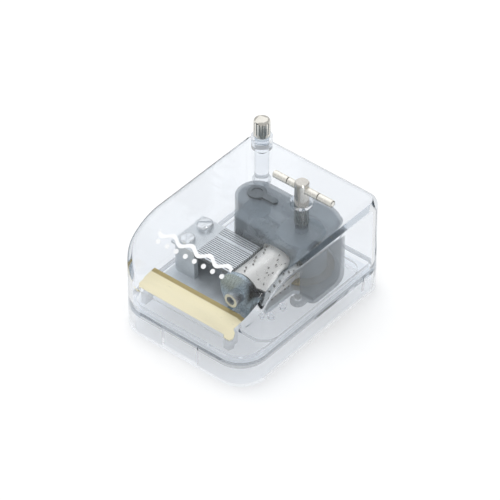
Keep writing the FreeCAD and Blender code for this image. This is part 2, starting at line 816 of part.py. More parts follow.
def toothed_wheel(name, teeth, bore):
    """Make a spur wheel about Z with thin straight-flanked teeth, one of them centred on +X."""
    pitch = f"({teeth}*tooth_module/2)"
    root = f"({pitch} - tooth_root)"
    body = new_body(name)
    disc = new_sketch(body, "XY_Plane")
    draw_circle(disc, root)
    draw_circle(disc, bore)
    pad(body, disc, "gear_width")
    tooth = new_sketch(body, "XY_Plane")
    sunk = f"({root} - tooth_bury)"
    draw_outline(tooth, [
        (sunk, "0 - root_half"),
        (f"{pitch} + tooth_tip", "0 - tip_half"),
        (f"{pitch} + tooth_tip", "tip_half"),
        (sunk, "root_half"),
    ])
    first = pad(body, tooth, "gear_width")
    doc.recompute()
    ring_of(body, first, teeth)
    return body


def mesh_turn(teeth, own_turn, direction, other_teeth):
    """Turn a wheel so that it meshes with another one that lies in a given direction from it."""
    own_step = 360.0/teeth
    other_step = 360.0/other_teeth
    part = ((direction - own_turn)/own_step) % 1.0
    return direction + 180.0 - (0.5 - part)*other_step


def wheel_across(body, x, back, z, turn):
    """Stand a wheel on an axis along Y, its back face at a given depth."""
    return place(body, x, back, z, FACING_FRONT.multiply(Rotation(Vector(0, 0, 1), turn)))


def make_great_wheel():
    """Crown wheel: a disc on the winding arbor with upright teeth round its edge."""
    body = turned("GreatWheel", [
        ("winding_radius + run_gap", "0"),
        (f"{PITCH_CROWN} + gear_width/2 + great_rim", "0"),
        (f"{PITCH_CROWN} + gear_width/2 + great_rim", "great_thick"),
        ("winding_radius + run_gap", "great_thick"),
    ])
    tooth = new_sketch(body, "YZ_Plane", f"{PITCH_CROWN} - gear_width/2")
    top = "(great_thick + tooth_tip + tooth_root + crown_relief)"
    draw_outline(tooth, [
        ("0 - root_half", "great_thick/2"),
        ("root_half", "great_thick/2"),
        ("tip_half", top),
        ("0 - tip_half", top),
    ])
    first = pad(body, tooth, "gear_width")
    doc.recompute()
    ring_of(body, first, "crown_teeth")
    return place(body, "key_x", "key_y", GREAT_BOTTOM, Rotation(Vector(0, 0, 1), -90))


# Movement: spring barrel

def make_barrel():
    """Open drum that holds the mainspring, standing on the great wheel."""
    body = turned("Barrel", [
        ("winding_radius + run_gap", "0"),
        ("barrel_radius", "0"),
        ("barrel_radius", "barrel_height"),
        ("barrel_radius - barrel_wall", "barrel_height"),
        ("barrel_radius - barrel_wall", "barrel_wall"),
        ("winding_radius + run_gap", "barrel_wall"),
    ])
    return place(body, "key_x", "key_y", GREAT_TOP)


def make_mainspring():
    """Flat spring wound in half-turn arcs, each one step wider than the last."""
    thick = number("spring_thick")
    inside = number("winding_radius + spring_margin + spring_thick/2")
    outside = number("barrel_radius - barrel_wall - spring_margin/2 - spring_thick/2")
    half_turns = 2*int(number("spring_turns"))
    step = (outside - inside)/half_turns
    print(f"mainspring: least gap to itself {2*step - thick:.2f} mm")

    def half_circle(k, radius):
        side = 1 if k % 2 == 0 else -1
        centre = Vector(0 if k % 2 == 0 else step, 0, 0)
        return Part.Arc(centre + Vector(side*radius, 0, 0), centre + Vector(0, side*radius, 0),
                        centre + Vector(-side*radius, 0, 0)).toShape()

    radii = [inside + k*step for k in range(half_turns)]
    outer = [half_circle(k, radius + thick/2) for k, radius in enumerate(radii)]
    inner = [half_circle(k, radius - thick/2) for k, radius in enumerate(radii)]
    start = Part.LineSegment(inner[0].Vertexes[0].Point, outer[0].Vertexes[0].Point).toShape()
    last = half_turns - 1
    finish = Part.LineSegment(inner[last].Vertexes[-1].Point, outer[last].Vertexes[-1].Point).toShape()
    wire = Part.Wire(Part.__sortEdges__([start, *outer, finish, *inner]))
    height = number("barrel_height - barrel_wall - 2*spring_margin")
    feature = doc.addObject("Part::Feature", "Mainspring")
    feature.Shape = Part.Face(wire).extrude(Vector(0, 0, height))
    return place(feature, "key_x", "key_y", f"{GREAT_TOP} + barrel_wall + spring_margin")


def make_winding_arbor():
    """Arbor from its pivot in the bed plate up into the key's hub."""
    shoulder = f"({GREAT_BOTTOM} - run_gap)"
    low = f"({BED_Z} + seat_gap)"
    body = turned("WindingArbor", [
        ("0", low),
        ("pivot_radius", low),
        ("pivot_radius", shoulder),
        ("winding_radius", shoulder),
        ("winding_radius", ARBOR_TOP),
        ("0", ARBOR_TOP),
    ])
    return place(body, "key_x", "key_y", "0")


def make_clutch():
    """One-way clutch round the winding arbor, seated under the housing's roof."""
    body = sleeve("Clutch", "clutch_radius", "winding_radius + run_gap", "clutch_height")
    return place(body, "key_x", "key_y", f"{ROOF_BOTTOM} - clutch_height")


# Movement: housing, bracket and governor

def make_housing():
    """Smoke-grey moulded cover: drum, governor lobe and an arch over the cylinder's wheel."""
    outer = housing_prism("0", BED_Z, "housing_top")
    front_left = upright_at("housing_left", "housing_front")
    front_right = upright_at(DRUM_RIGHT, "housing_front")
    outer = rounded(outer, "housing_corner", lambda edge: front_left(edge) or front_right(edge))
    top = number("housing_top")
    outer = bevelled(outer, "housing_edge",
                     lambda edge: all(abs(vertex.Z - top) < 1e-6 for vertex in edge.Vertexes))
    cavity = housing_prism("housing_wall", f"{BED_Z} - wall", ROOF_BOTTOM)
    through = ("housing_front - wall", "housing_front + housing_wall + clear_gap")
    arch = fuse(
        rod("key_x", through, "cylinder_z", "arch_radius"),
        box(("key_x - arch_radius", "key_x + arch_radius"), through, (f"{BED_Z} - wall", "cylinder_z")),
    )
    sill = box(("bridge_left - clear_gap", "bed_right + clear_gap"), through,
               (f"{BED_Z} - wall", f"{BED_TOP} + clear_gap"))
    roof = (f"{ROOF_BOTTOM} - wall", "housing_top + wall")
    arbor_hole = rod("key_x", "key_y", roof, "winding_radius + run_gap")
    fly_hole = rod(WORM_X, "lobe_y", roof, "fly_radius + run_gap")
    return cut(fuse(outer, housing_ear()), cavity, arch, sill, arbor_hole, fly_hole, arm_window())


def housing_ear():
    """Screw ear at the foot of the housing's front wall."""
    height = (BED_Z, f"{BED_Z} + ear_thick")
    y = "(housing_front - ear_reach)"
    return fuse(
        rod("ear_x", y, height, "ear_radius"),
        box(("ear_x - ear_radius", "ear_x + ear_radius"), (y, f"{y} + ear_reach + housing_wall"), height),
    )


def make_bracket():
    """Bent bracket: two upright plates on a flange that stands on the bed plate."""
    flange_top = f"({BED_TOP} + bracket_thick)"
    flange = box(("bracket_left", "flange_right"), (BRACKET_Y, BRACKET_BACK), (BED_TOP, flange_top))
    front = box(("bracket_left", "bracket_right"), (BRACKET_Y, f"{BRACKET_Y} + bracket_thick"),
                (BED_TOP, f"{IDLER_Z} + bracket_rise"))
    back = box(("bracket_left", "flange_right"), ("bracket_back_y", BRACKET_BACK),
               (BED_TOP, f"{GOVERNOR_Z} + bracket_rise"))
    clear = f"({PITCH_WHEEL} + tooth_tip + clear_gap)"
    window = rod(GOVERNOR_X, ("lobe_y - gear_width/2 - clear_gap", "lobe_y + gear_width/2 + clear_gap"),
                 GOVERNOR_Z, clear)
    through = (f"{BRACKET_Y} - wall", f"{BRACKET_BACK} + wall")
    arbor_hole = rod(GOVERNOR_X, through, GOVERNOR_Z, "governor_radius + run_gap")
    stud_hole = rod(IDLER_X, (f"{BRACKET_Y} - wall", f"{BRACKET_Y} + 2*wall"), IDLER_Z,
                    "governor_radius + seat_gap")
    return cut(fuse(flange, front, back), window, arbor_hole, stud_hole)


def make_worm():
    """Upright worm with one start on a thin shaft that runs between two bearings."""
    lead = number("tooth_module")*math.pi
    turns = number("worm_turns")
    core = number("worm_radius - tooth_root")
    tip = number("worm_radius + tooth_tip")
    half_tip = number("tip_half")
    half_root = number("root_half")
    sunk = core - number("tooth_bury")
    section = Part.makePolygon([
        Vector(sunk, 0, -half_root),
        Vector(tip, 0, -half_tip),
        Vector(tip, 0, half_tip),
        Vector(sunk, 0, half_root),
        Vector(sunk, 0, -half_root),
    ])
    middle = number(GOVERNOR_Z)
    low = middle - lead*(turns/2)
    path = Part.Wire(Part.makeHelix(lead, lead*turns, core))
    thread = path.makePipeShell([section], True, True)
    thread.translate(Vector(0, 0, low))
    body = Part.makeCylinder(core, lead*(turns + 1), Vector(0, 0, low - lead/2))
    foot = number(f"{BED_TOP} - fly_foot + run_gap")
    shaft = Part.makeCylinder(number("fly_radius"), number("housing_top") - number("run_gap") - foot,
                              Vector(0, 0, foot))
    feature = doc.addObject("Part::Feature", "Worm")
    feature.Shape = body.fuse([shaft, thread]).removeSplitter()
    return place(feature, WORM_X, "lobe_y", "0", Rotation(Vector(0, 0, 1), WORM_TURN))


def make_fan():
    """Air brake: four blades under a round disc on a hub."""
    low = "fan_blade_z"
    disc_low = "(fan_blade_z + fan_blade_height)"
    disc = rod(WORM_X, "lobe_y", (disc_low, FAN_TOP), "fan_radius")
    hub = rod(WORM_X, "lobe_y", (low, disc_low), "fan_hub_radius")
    half = "fan_blade_thick/2"
    blades = [
        box((f"{WORM_X} - fan_radius + {half}", f"{WORM_X} + fan_radius - {half}"),
            (f"lobe_y - {half}", f"lobe_y + {half}"), (low, disc_low)),
        box((f"{WORM_X} - {half}", f"{WORM_X} + {half}"),
            (f"lobe_y - fan_radius + {half}", f"lobe_y + fan_radius - {half}"), (low, disc_low)),
    ]
    bore = rod(WORM_X, "lobe_y", (f"{low} - wall", f"{FAN_TOP} + wall"), "fly_radius + seat_gap")
    return cut(fuse(disc, hub, *blades), bore)


def make_top_cap():
    """Bridge on top of the lobe: a ring with a straight tail."""
    height = ("housing_top", "housing_top + cap_thick")
    ring = rod(WORM_X, "lobe_y", height, "cap_radius")
    tail = box((WORM_X, f"{WORM_X} + cap_tail"), ("lobe_y - cap_tail_width/2", "lobe_y + cap_tail_width/2"),
               height)
    tail_end = rod(f"{WORM_X} + cap_tail", "lobe_y", height, "cap_tail_width/2")
    dish = rod(WORM_X, "lobe_y", ("housing_top + cap_thick/2", "housing_top + wall"), "cap_dish")
    return cut(fuse(ring, tail, tail_end), dish)


# Winding key

def make_key_hub():
    """Round hub with a blind bore for the arbor and a cross hole for the bar."""
    bore = "(winding_radius + seat_gap)"
    body = turned("KeyHub", [
        (bore, HUB_BOTTOM),
        ("hub_radius", HUB_BOTTOM),
        ("hub_radius", "hub_top - hub_chamfer"),
        ("hub_radius - hub_chamfer", "hub_top"),
        ("0", "hub_top"),
        ("0", f"{ARBOR_TOP} + seat_gap"),
        (bore, f"{ARBOR_TOP} + seat_gap"),
    ])
    place(body, "key_x", "key_y", "0")
    cross = rod(("key_x - 2*hub_radius", "key_x + 2*hub_radius"), "key_y", "bar_z", "bar_radius + seat_gap")
    return cut(body, cross)


def make_key_bar():
    """Cross bar with rounded ends and a ring groove on each side of the hub."""
    half = "bar_length/2"
    right = [
        ("bar_radius", "bar_groove - bar_groove_width/2"),
        ("bar_radius - bar_groove_depth", "bar_groove"),
        ("bar_radius", "bar_groove + bar_groove_width/2"),
        ("bar_radius", f"{half} - bar_bevel"),
        ("bar_radius - bar_bevel", half),
        ("0", half),
    ]
    left = [(radius, f"0 - ({spot})") for radius, spot in reversed(right)]
    body = turned("KeyBar", left + right)
    return place(body, "key_x + bar_shift", "key_y", "bar_z", AXIS_TURN["x"])


# Stop control

def stop_direction():
    """Give the plan direction from the stop shaft to the fly, in degrees."""
    return math.degrees(math.atan2(number(f"lobe_y - {STOP_Y}"), number(f"{WORM_X} - {STOP_X}")))


def along_arm(length, width, height, start, side, low):
    """Make a block that lies along the line from the stop shaft to the fly."""
    block = doc.addObject("Part::Box", "ArmBlock")
    bind(block, "Length", length)
    bind(block, "Width", width)
    bind(block, "Height", height)
    angle = math.radians(stop_direction())
    ahead, across = math.cos(angle), math.sin(angle)
    return place(block, f"{STOP_X} + ({start})*({ahead}) - ({side})*({across})",
                 f"{STOP_Y} + ({start})*({across}) + ({side})*({ahead})", low,
                 Rotation(Vector(0, 0, 1), stop_direction()))


def arm_window():
    """Slot in the housing's lobe that the brake arm reaches and slides through."""
    height = f"{ROOF_BOTTOM} - {PAD_Z} + clear_gap"
    return along_arm(f"{STOP_SPAN} - pad_reach", "arm_width + 2*clear_gap", height, "stop_radius",
                     "0 - arm_width/2 - clear_gap", f"{PAD_Z} - clear_gap")


def make_stop_arm():
    """Arm clamped on the stop shaft that carries the brake pad over the fly."""
    height = (ARM_Z, f"{ARM_Z} + arm_thick")
    ring = rod(STOP_X, STOP_Y, height, "stop_radius + arm_ring")
    arm = along_arm(f"{STOP_SPAN} - pad_reach", "arm_width", "arm_thick", "0", "0 - arm_width/2", ARM_Z)
    bore = rod(STOP_X, STOP_Y, (f"{ARM_Z} - wall", f"{ARM_Z} + wall"), "stop_radius + seat_gap")
    return cut(fuse(ring, arm), bore)


def make_brake_pad():
    """Round felt pad under the end of the arm."""
    angle = math.radians(stop_direction())
    spot = f"({STOP_SPAN} - pad_reach - pad_radius)"
    return rod(f"{STOP_X} + {spot}*({math.cos(angle)})", f"{STOP_Y} + {spot}*({math.sin(angle)})",
               (PAD_Z, ARM_Z), "pad_radius")


def make_stop_shaft():
    """Clear shaft that slides in the tray's guide and the cover's collar."""
    body = turned("StopShaft", [
        ("0", "stop_foot"),
        ("stop_radius", "stop_foot"),
        ("stop_radius", "knob_bottom"),
        ("knob_spigot", "knob_bottom"),
        ("knob_spigot", "knob_bottom + knob_grip"),
        ("0", "knob_bottom + knob_grip"),
    ])
    return place(body, STOP_X, STOP_Y, "0")


def make_stop_knob():
    """Knurled cap with a plain skirt and a domed top."""
    bore = "(knob_spigot + seat_gap)"
    body = turned("StopKnob", [
        (bore, "knob_bottom"),
        ("knob_radius", "knob_bottom"),
        ("knob_radius", "knob_top - knob_dome"),
        ("knob_radius - knob_dome/3", "knob_top - knob_dome/3"),
        ("knob_radius - knob_dome", "knob_top"),
        ("0", "knob_top"),
        ("0", "knob_bottom + knob_grip + seat_gap"),
        (bore, "knob_bottom + knob_grip + seat_gap"),
    ])
    flute = new_sketch(body, "XY_Plane", "knob_top")
    draw_outline(flute, [
        ("knob_radius - knob_flute_depth", "0"),
        ("knob_radius + knob_flute_depth", "0 - knob_flute_half"),
        ("knob_radius + knob_flute_depth", "knob_flute_half"),
    ])
    pocket = body.newObject("PartDesign::Pocket", "Flute")
    pocket.Profile = flute
    bind(pocket, "Length", "knob_top - knob_bottom - knob_skirt")
    doc.recompute()
    ring_of(body, pocket, "knob_flutes")
    return place(body, STOP_X, STOP_Y, "0")


# Turns that put every wheel in mesh at rest
CYLINDER_TURN = -90.0 + 180.0/number("cylinder_teeth")
IDLER_TURN = mesh_turn(number("cylinder_teeth"), CYLINDER_TURN, 180.0 + number("idler_angle"),
                       number("idler_teeth"))
PINION_TURN = mesh_turn(number("idler_teeth"), IDLER_TURN, 180.0 + number("pinion_angle"),
                        number("pinion_teeth"))
WHEEL_TURN = 180.0 + 180.0/number("wheel_teeth")
WORM_TURN = -180.0*number("worm_turns")

node("base_tray", make_tray())
node("case_cover", make_cover())
node("label_holder", make_label_holder())
node("name_plate", make_name_plate())
node("movement_frame", make_frame())
node("comb", make_comb())
node("comb_weights", make_comb_weights())
node("comb_screws", group(*[comb_screw(y) for y in COMB_SCREWS]))
node("front_bearing", make_front_bearing())
node("bearing_bush", make_bush())
node("pin_cylinder", make_pin_cylinder())
node("cylinder_ends", make_cylinder_ends())
ARBOR_FRONT = f"{BEARING_FRONT} - bush_length/2 - bush_mouth/2"
node("cylinder_arbor", rod("key_x", (ARBOR_FRONT, f"{GEAR_BACK} + 2*run_gap"), "cylinder_z", "arbor_radius"))
node("cylinder_gear", wheel_across(
    toothed_wheel("CylinderGear", "cylinder_teeth", "arbor_radius + seat_gap"),
    "key_x", GEAR_BACK, "cylinder_z", CYLINDER_TURN))
node("great_wheel", make_great_wheel())
node("spring_barrel", make_barrel())
node("barrel_lid", place(sleeve("BarrelLid", "barrel_radius", "winding_radius + run_gap", "barrel_wall"),
                         "key_x", "key_y", LID_BOTTOM))
node("mainspring", make_mainspring())
node("winding_arbor", make_winding_arbor())
node("one_way_clutch", make_clutch())
node("idler_wheel", wheel_across(
    toothed_wheel("IdlerWheel", "idler_teeth", "governor_radius + run_gap"),
    IDLER_X, GEAR_BACK, IDLER_Z, IDLER_TURN))
node("idler_stud", rod(IDLER_X, (f"{GEAR_FRONT} - 3*run_gap", f"{BRACKET_Y} + bracket_thick"), IDLER_Z,
                       "governor_radius"))
node("governor_pinion", wheel_across(
    toothed_wheel("GovernorPinion", "pinion_teeth", "governor_radius + seat_gap"),
    GOVERNOR_X, GEAR_BACK, GOVERNOR_Z, PINION_TURN))
node("worm_wheel", wheel_across(
    toothed_wheel("WormWheel", "wheel_teeth", "governor_radius + seat_gap"),
    GOVERNOR_X, "lobe_y + gear_width/2", GOVERNOR_Z, WHEEL_TURN))
node("governor_arbor", rod(GOVERNOR_X, (f"{GEAR_FRONT} - 3*run_gap", f"{BRACKET_BACK} + clear_gap"),
                           GOVERNOR_Z, "governor_radius"))
node("worm", make_worm())
node("fan", make_fan())
node("fly_top_cap", make_top_cap())
node("train_bracket", make_bracket())
node("mechanism_housing", make_housing())
node("key_hub", make_key_hub())
node("key_bar", make_key_bar())
node("stop_shaft", make_stop_shaft())
node("stop_knob", make_stop_knob())
node("stop_arm", make_stop_arm())
node("brake_pad", make_brake_pad())

doc.recompute()

for thing in doc.Objects:
    if any(word in thing.State for word in ("Invalid", "Error")):
        raise RuntimeError(f"{thing.Label} ({thing.Name}) failed: {thing.State}")
for name, thing in NODES.items():
    if thing.Shape.isNull() or not thing.Shape.isValid() or not thing.Shape.Solids:
        raise RuntimeError(f"{name} has no valid solid")

os.makedirs("parts", exist_ok=True)
for name, thing in NODES.items():
    thing.Shape.exportStep(f"parts/{name}.step")
print(f"wrote {len(NODES)} sub-parts")
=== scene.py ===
"""Wind-up music box in a clear domed case: finishes, small fasteners and a plain studio.

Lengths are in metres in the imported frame: +X to the right along the front, +Y to the back and +Z up.
"""

import logging
import math
from dataclasses import dataclass
from enum import Enum
from typing import Callable, Iterable, Sequence

import bmesh
import bpy
from mathutils import Matrix, Vector

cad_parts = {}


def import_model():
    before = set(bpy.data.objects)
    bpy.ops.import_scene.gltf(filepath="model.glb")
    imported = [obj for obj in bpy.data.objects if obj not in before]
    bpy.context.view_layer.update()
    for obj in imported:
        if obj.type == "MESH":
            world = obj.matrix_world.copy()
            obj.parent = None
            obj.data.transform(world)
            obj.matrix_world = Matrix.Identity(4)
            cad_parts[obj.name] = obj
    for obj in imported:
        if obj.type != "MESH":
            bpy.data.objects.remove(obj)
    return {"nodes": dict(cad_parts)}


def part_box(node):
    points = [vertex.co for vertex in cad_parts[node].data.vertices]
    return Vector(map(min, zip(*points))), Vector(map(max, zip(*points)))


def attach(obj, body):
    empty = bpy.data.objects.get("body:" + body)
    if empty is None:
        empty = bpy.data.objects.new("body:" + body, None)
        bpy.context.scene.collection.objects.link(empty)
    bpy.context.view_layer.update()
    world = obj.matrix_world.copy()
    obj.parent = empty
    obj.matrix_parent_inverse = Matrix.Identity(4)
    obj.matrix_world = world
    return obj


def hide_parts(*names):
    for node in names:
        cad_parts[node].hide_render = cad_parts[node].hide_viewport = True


log = logging.getLogger("music_box")

MM = 0.001
FULL_TURN = 2.0 * math.pi
WELD_DISTANCE = 1e-6
RIM_TOLERANCE = 1e-3
SHARP_ANGLE = math.radians(30.0)
FLAT_FACE_WEIGHT = 100
EDGE_FACES = 2
HALF_UNIT = 0.5
NOISE_LOW = 0.3
NOISE_HIGH = 0.7
FINE_DETAIL = 4.0
WHITE_LIGHT = (1.0, 1.0, 1.0, 1.0)

Colour = tuple[float, float, float]
Place = tuple[float, float, float]
Pair = tuple[float, float]
Socket = bpy.types.NodeSocket


class Body(Enum):
    """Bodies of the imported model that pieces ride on."""

    CASE = "case"
    CYLINDER = "cylinder"
    STOP = "stop"


class Slot(Enum):
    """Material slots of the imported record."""

    STEEL = "steel"
    SCREW = "screw_steel"
    FELT = "felt"
    INK = "white_plastic"


class Pointing(Enum):
    """Way that a screw's head faces."""

    UP = 0.0
    DOWN = math.pi


class Wiring:
    """A node tree while it is put together."""

    def __init__(self, tree: bpy.types.NodeTree) -> None:
        """Take the tree that the nodes go into."""
        self.tree = tree

    def add(self, kind: str, **sockets: object) -> bpy.types.Node:
        """Add a node and set its sockets.

        Args:
            kind: Blender's node type.
            sockets: Socket names, with spaces written as underscores, and their values.

        Returns:
            The new node.
        """
        node = self.tree.nodes.new(kind)
        for socket, value in sockets.items():
            node.inputs[socket.replace("_", " ")].default_value = value
        return node

    def link(self, source: Socket, target: Socket) -> None:
        """Join two sockets."""
        self.tree.links.new(source, target)

    def operate(self, kind: str, operation: str, *values: Socket | float | Place) -> bpy.types.Node:
        """Add a node that works out a result.

        Args:
            kind: Blender's node type.
            operation: Blender's name for the sum.
            values: Sockets, numbers or vectors that go into it.

        Returns:
            The new node.
        """
        node = self.add(kind)
        node.operation = operation
        for socket, value in zip(node.inputs, values):
            if isinstance(value, Socket):
                self.link(value, socket)
            else:
                socket.default_value = value
        return node

    def maths(self, operation: str, *values: Socket | float) -> Socket:
        """Work out a value from sockets or numbers."""
        return self.operate("ShaderNodeMath", operation, *values).outputs["Value"]

    def spread(self, value: Socket, low: float, high: float, start: float = 0.0,
               end: float = 1.0) -> Socket:
        """Spread a value over a range.

        Args:
            value: Value socket.
            low: Result at the start and before it.
            high: Result at the end and after it.
            start: Value where the range starts.
            end: Value where the range ends.

        Returns:
            A value socket.
        """
        ranged = self.add("ShaderNodeMapRange", From_Min=start, From_Max=end, To_Min=low, To_Max=high)
        self.link(value, ranged.inputs["Value"])
        return ranged.outputs["Result"]


class Recipe(Wiring):
    """A material's node tree while it is put together."""

    def __init__(self, name: str) -> None:
        """Start an empty material.

        Args:
            name: Name of the material.
        """
        self.material = bpy.data.materials.new(name)
        self.material.use_nodes = True
        super().__init__(self.material.node_tree)
        self.tree.nodes.clear()
        self.output = self.add("ShaderNodeOutputMaterial")

    def finish(self, shader: bpy.types.Node) -> bpy.types.Material:
        """Send a shader to the output and return the material."""
        self.link(shader.outputs[0], self.output.inputs["Surface"])
        return self.material

    def places(self, stretch: Place = (1.0, 1.0, 1.0)) -> Socket:
        """Give the object's own coordinates, stretched along its axes.

        Args:
            stretch: Scale of the pattern along X, Y and Z.

        Returns:
            A vector socket.
        """
        coordinates = self.add("ShaderNodeTexCoord")
        mapping = self.add("ShaderNodeMapping", Scale=stretch)
        self.link(coordinates.outputs["Object"], mapping.inputs["Vector"])
        return mapping.outputs["Vector"]

    def directions(self) -> bpy.types.Node:
        """Split the object's own coordinates.

        Returns:
            A node with the outputs X, Y and Z.
        """
        split = self.add("ShaderNodeSeparateXYZ")
        self.link(self.places(), split.inputs["Vector"])
        return split

    def noise(self, place: Socket, scale: float, detail: float = 3.0) -> Socket:
        """Give a noise value at each place.

        Args:
            place: Vector socket to read.
            scale: Spots per metre.
            detail: Number of finer layers.

        Returns:
            A value socket between 0 and 1, mostly between the noise limits.
        """
        noise = self.add("ShaderNodeTexNoise", Scale=scale, Detail=detail)
        self.link(place, noise.inputs["Vector"])
        return noise.outputs["Fac"]

    def tones(self, noise: Socket, dark: Colour, light: Colour) -> Socket:
        """Blend two colours by a noise value.

        Args:
            noise: Value socket.
            dark: Colour at the low end.
            light: Colour at the high end.

        Returns:
            A colour socket.
        """
        ramp = self.add("ShaderNodeValToRGB")
        ends = ((NOISE_LOW, dark), (NOISE_HIGH, light))
        for element, (position, colour) in zip(ramp.color_ramp.elements, ends):
            element.position = position
            element.color = (*colour, 1.0)
        self.link(noise, ramp.inputs["Fac"])
        return ramp.outputs["Color"]

    def polish(self, noise: Socket, roughness: float, unevenness: float) -> Socket:
        """Let a roughness stray to both sides by a noise value.

        Args:
            noise: Value socket.
            roughness: Roughness in the middle.
            unevenness: Share that it strays by.

        Returns:
            A value socket.
        """
        smooth, rough = roughness * (1.0 - unevenness), roughness * (1.0 + unevenness)
        return self.spread(noise, smooth, rough, NOISE_LOW, NOISE_HIGH)

    def marked(self, share: Socket, colour: Socket, mark: Colour) -> Socket:
        """Lay a mark's colour over another.

        Args:
            share: Value socket that is 1 where the mark shows.
            colour: Colour socket beneath.
            mark: Colour of the mark.

        Returns:
            A colour socket.
        """
        over = self.add("ShaderNodeMixRGB", Color2=(*mark, 1.0))
        self.link(share, over.inputs["Fac"])
        self.link(colour, over.inputs["Color1"])
        return over.outputs["Color"]

    def blend(self, share: Socket, first: bpy.types.Node, second: bpy.types.Node) -> bpy.types.Node:
        """Mix two shaders.

        Args:
            share: Value socket that is 0 for the first shader and 1 for the second.
            first: Shader node.
            second: Shader node.

        Returns:
            The mixing node.
        """
        mix = self.add("ShaderNodeMixShader")
        self.link(share, mix.inputs["Fac"])
        self.link(first.outputs[0], mix.inputs[1])
        self.link(second.outputs[0], mix.inputs[2])
        return mix

    def bump(self, height: Socket, strength: float, depth: float) -> Socket:
        """Turn a height into a normal.

        Args:
            height: Value socket.
            strength: Share of the bump that shows.
            depth: Height of a full step in metres.

        Returns:
            A normal socket.
        """
        bump = self.add("ShaderNodeBump", Strength=strength, Distance=depth)
        self.link(height, bump.inputs["Height"])
        return bump.outputs["Normal"]


def shaded(colour: Colour, share: float) -> Colour:
    """Make a colour lighter or darker by a share."""
    red, green, blue = (min(1.0, part * (1.0 + share)) for part in colour)
    return red, green, blue


@dataclass(frozen=True)
class Finish:
    """A surface finish that is made once and shared by its pieces."""

    name: str
    colour: Colour
    roughness: float

    def material(self) -> bpy.types.Material:
        """Give the finish's material, made at its first use."""
        return bpy.data.materials.get(self.name) or self.mix(Recipe(self.name))

    def mix(self, recipe: Recipe) -> bpy.types.Material:
        """Put the finish's nodes together.

        Args:
            recipe: Empty material.

        Returns:
            The finished material.
        """
        raise NotImplementedError


@dataclass(frozen=True)
class GrainedFinish(Finish):
    """A finish with fine grain, broad patches of tone and uneven polish.

    Attributes:
        grain: Spots per metre.
        stretch: Scale of the grain along X, Y and Z.
        patch: Width of a patch, in spots of the grain.
        variation: Share by which the dark patches are darker.
        light_share: Part of that share by which the light patches are lighter.
        unevenness: Share by which the roughness strays.
        bump: Share of the relief that shows.
        relief: Height of the grain in metres.
    """

    metallic: float = 0.0
    alpha: float = 1.0
    ior: float = 1.5
    grain: float = 2500.0
    stretch: Place = (1.0, 1.0, 1.0)
    patch: float = 12.0
    variation: float = 0.18
    light_share: float = 0.5
    unevenness: float = 0.3
    bump: float = 0.4
    relief: float = 0.01 * MM

    def mix(self, recipe: Recipe) -> bpy.types.Material:
        """Put the nodes of the grain, the patches and the polish together.

        Args:
            recipe: Empty material.

        Returns:
            The finished material.
        """
        place = recipe.places(self.stretch)
        fine = recipe.noise(place, self.grain, FINE_DETAIL)
        broad = recipe.noise(place, self.grain / self.patch)
        dark = shaded(self.colour, -self.variation)
        light = shaded(self.colour, self.variation * self.light_share)
        colour = self.marked(recipe, recipe.tones(broad, dark, light))
        skin = recipe.add("ShaderNodeBsdfPrincipled", Metallic=self.metallic, Alpha=self.alpha,
                          IOR=self.ior)
        recipe.link(colour, skin.inputs["Base Color"])
        recipe.link(recipe.polish(fine, self.roughness, self.unevenness), skin.inputs["Roughness"])
        recipe.link(recipe.bump(fine, self.bump, self.relief), skin.inputs["Normal"])
        return recipe.finish(skin)

    def marked(self, recipe: Recipe, colour: Socket) -> Socket:
        """Give the colour with the finish's marks, here none."""
        return colour


@dataclass(frozen=True)
class Metal(GrainedFinish):
    """Plated, cast or rolled metal."""

    metallic: float = 1.0


@dataclass(frozen=True)
class SteppedMetal(Metal):
    """Metal whose skin is darker between two distances from an axis or a plane.

    Attributes:
        middle: A point of the axis or plane.
        across: 1 for each of X, Y and Z that the distance counts, and 0 for the others.
        inner: Distance where the darker skin starts.
        outer: Distance where it ends.
        soft: Half the width of the change at the inner distance.
        mark: Colour of the darker skin.
    """

    middle: Place = (0.0, 0.0, 0.0)
    across: Place = (1.0, 0.0, 1.0)
    inner: float = 0.0
    outer: float = 1.0 * MM
    soft: float = 0.005 * MM
    mark: Colour = (0.05, 0.045, 0.04)

    def marked(self, recipe: Recipe, colour: Socket) -> Socket:
        """Darken the band between the two distances.

        Args:
            recipe: Material being made.
            colour: Colour of the plain metal.

        Returns:
            A colour socket.
        """
        offset = recipe.operate("ShaderNodeVectorMath", "SUBTRACT", recipe.places(), self.middle)
        flat = recipe.operate("ShaderNodeVectorMath", "MULTIPLY", offset.outputs["Vector"], self.across)
        length = recipe.operate("ShaderNodeVectorMath", "LENGTH", flat.outputs["Vector"])
        reach = length.outputs["Value"]
        outside = recipe.spread(reach, 0.0, 1.0, self.inner - self.soft, self.inner + self.soft)
        inside = recipe.maths("LESS_THAN", reach, self.outer)
        return recipe.marked(recipe.maths("MULTIPLY", outside, inside), colour, self.mark)


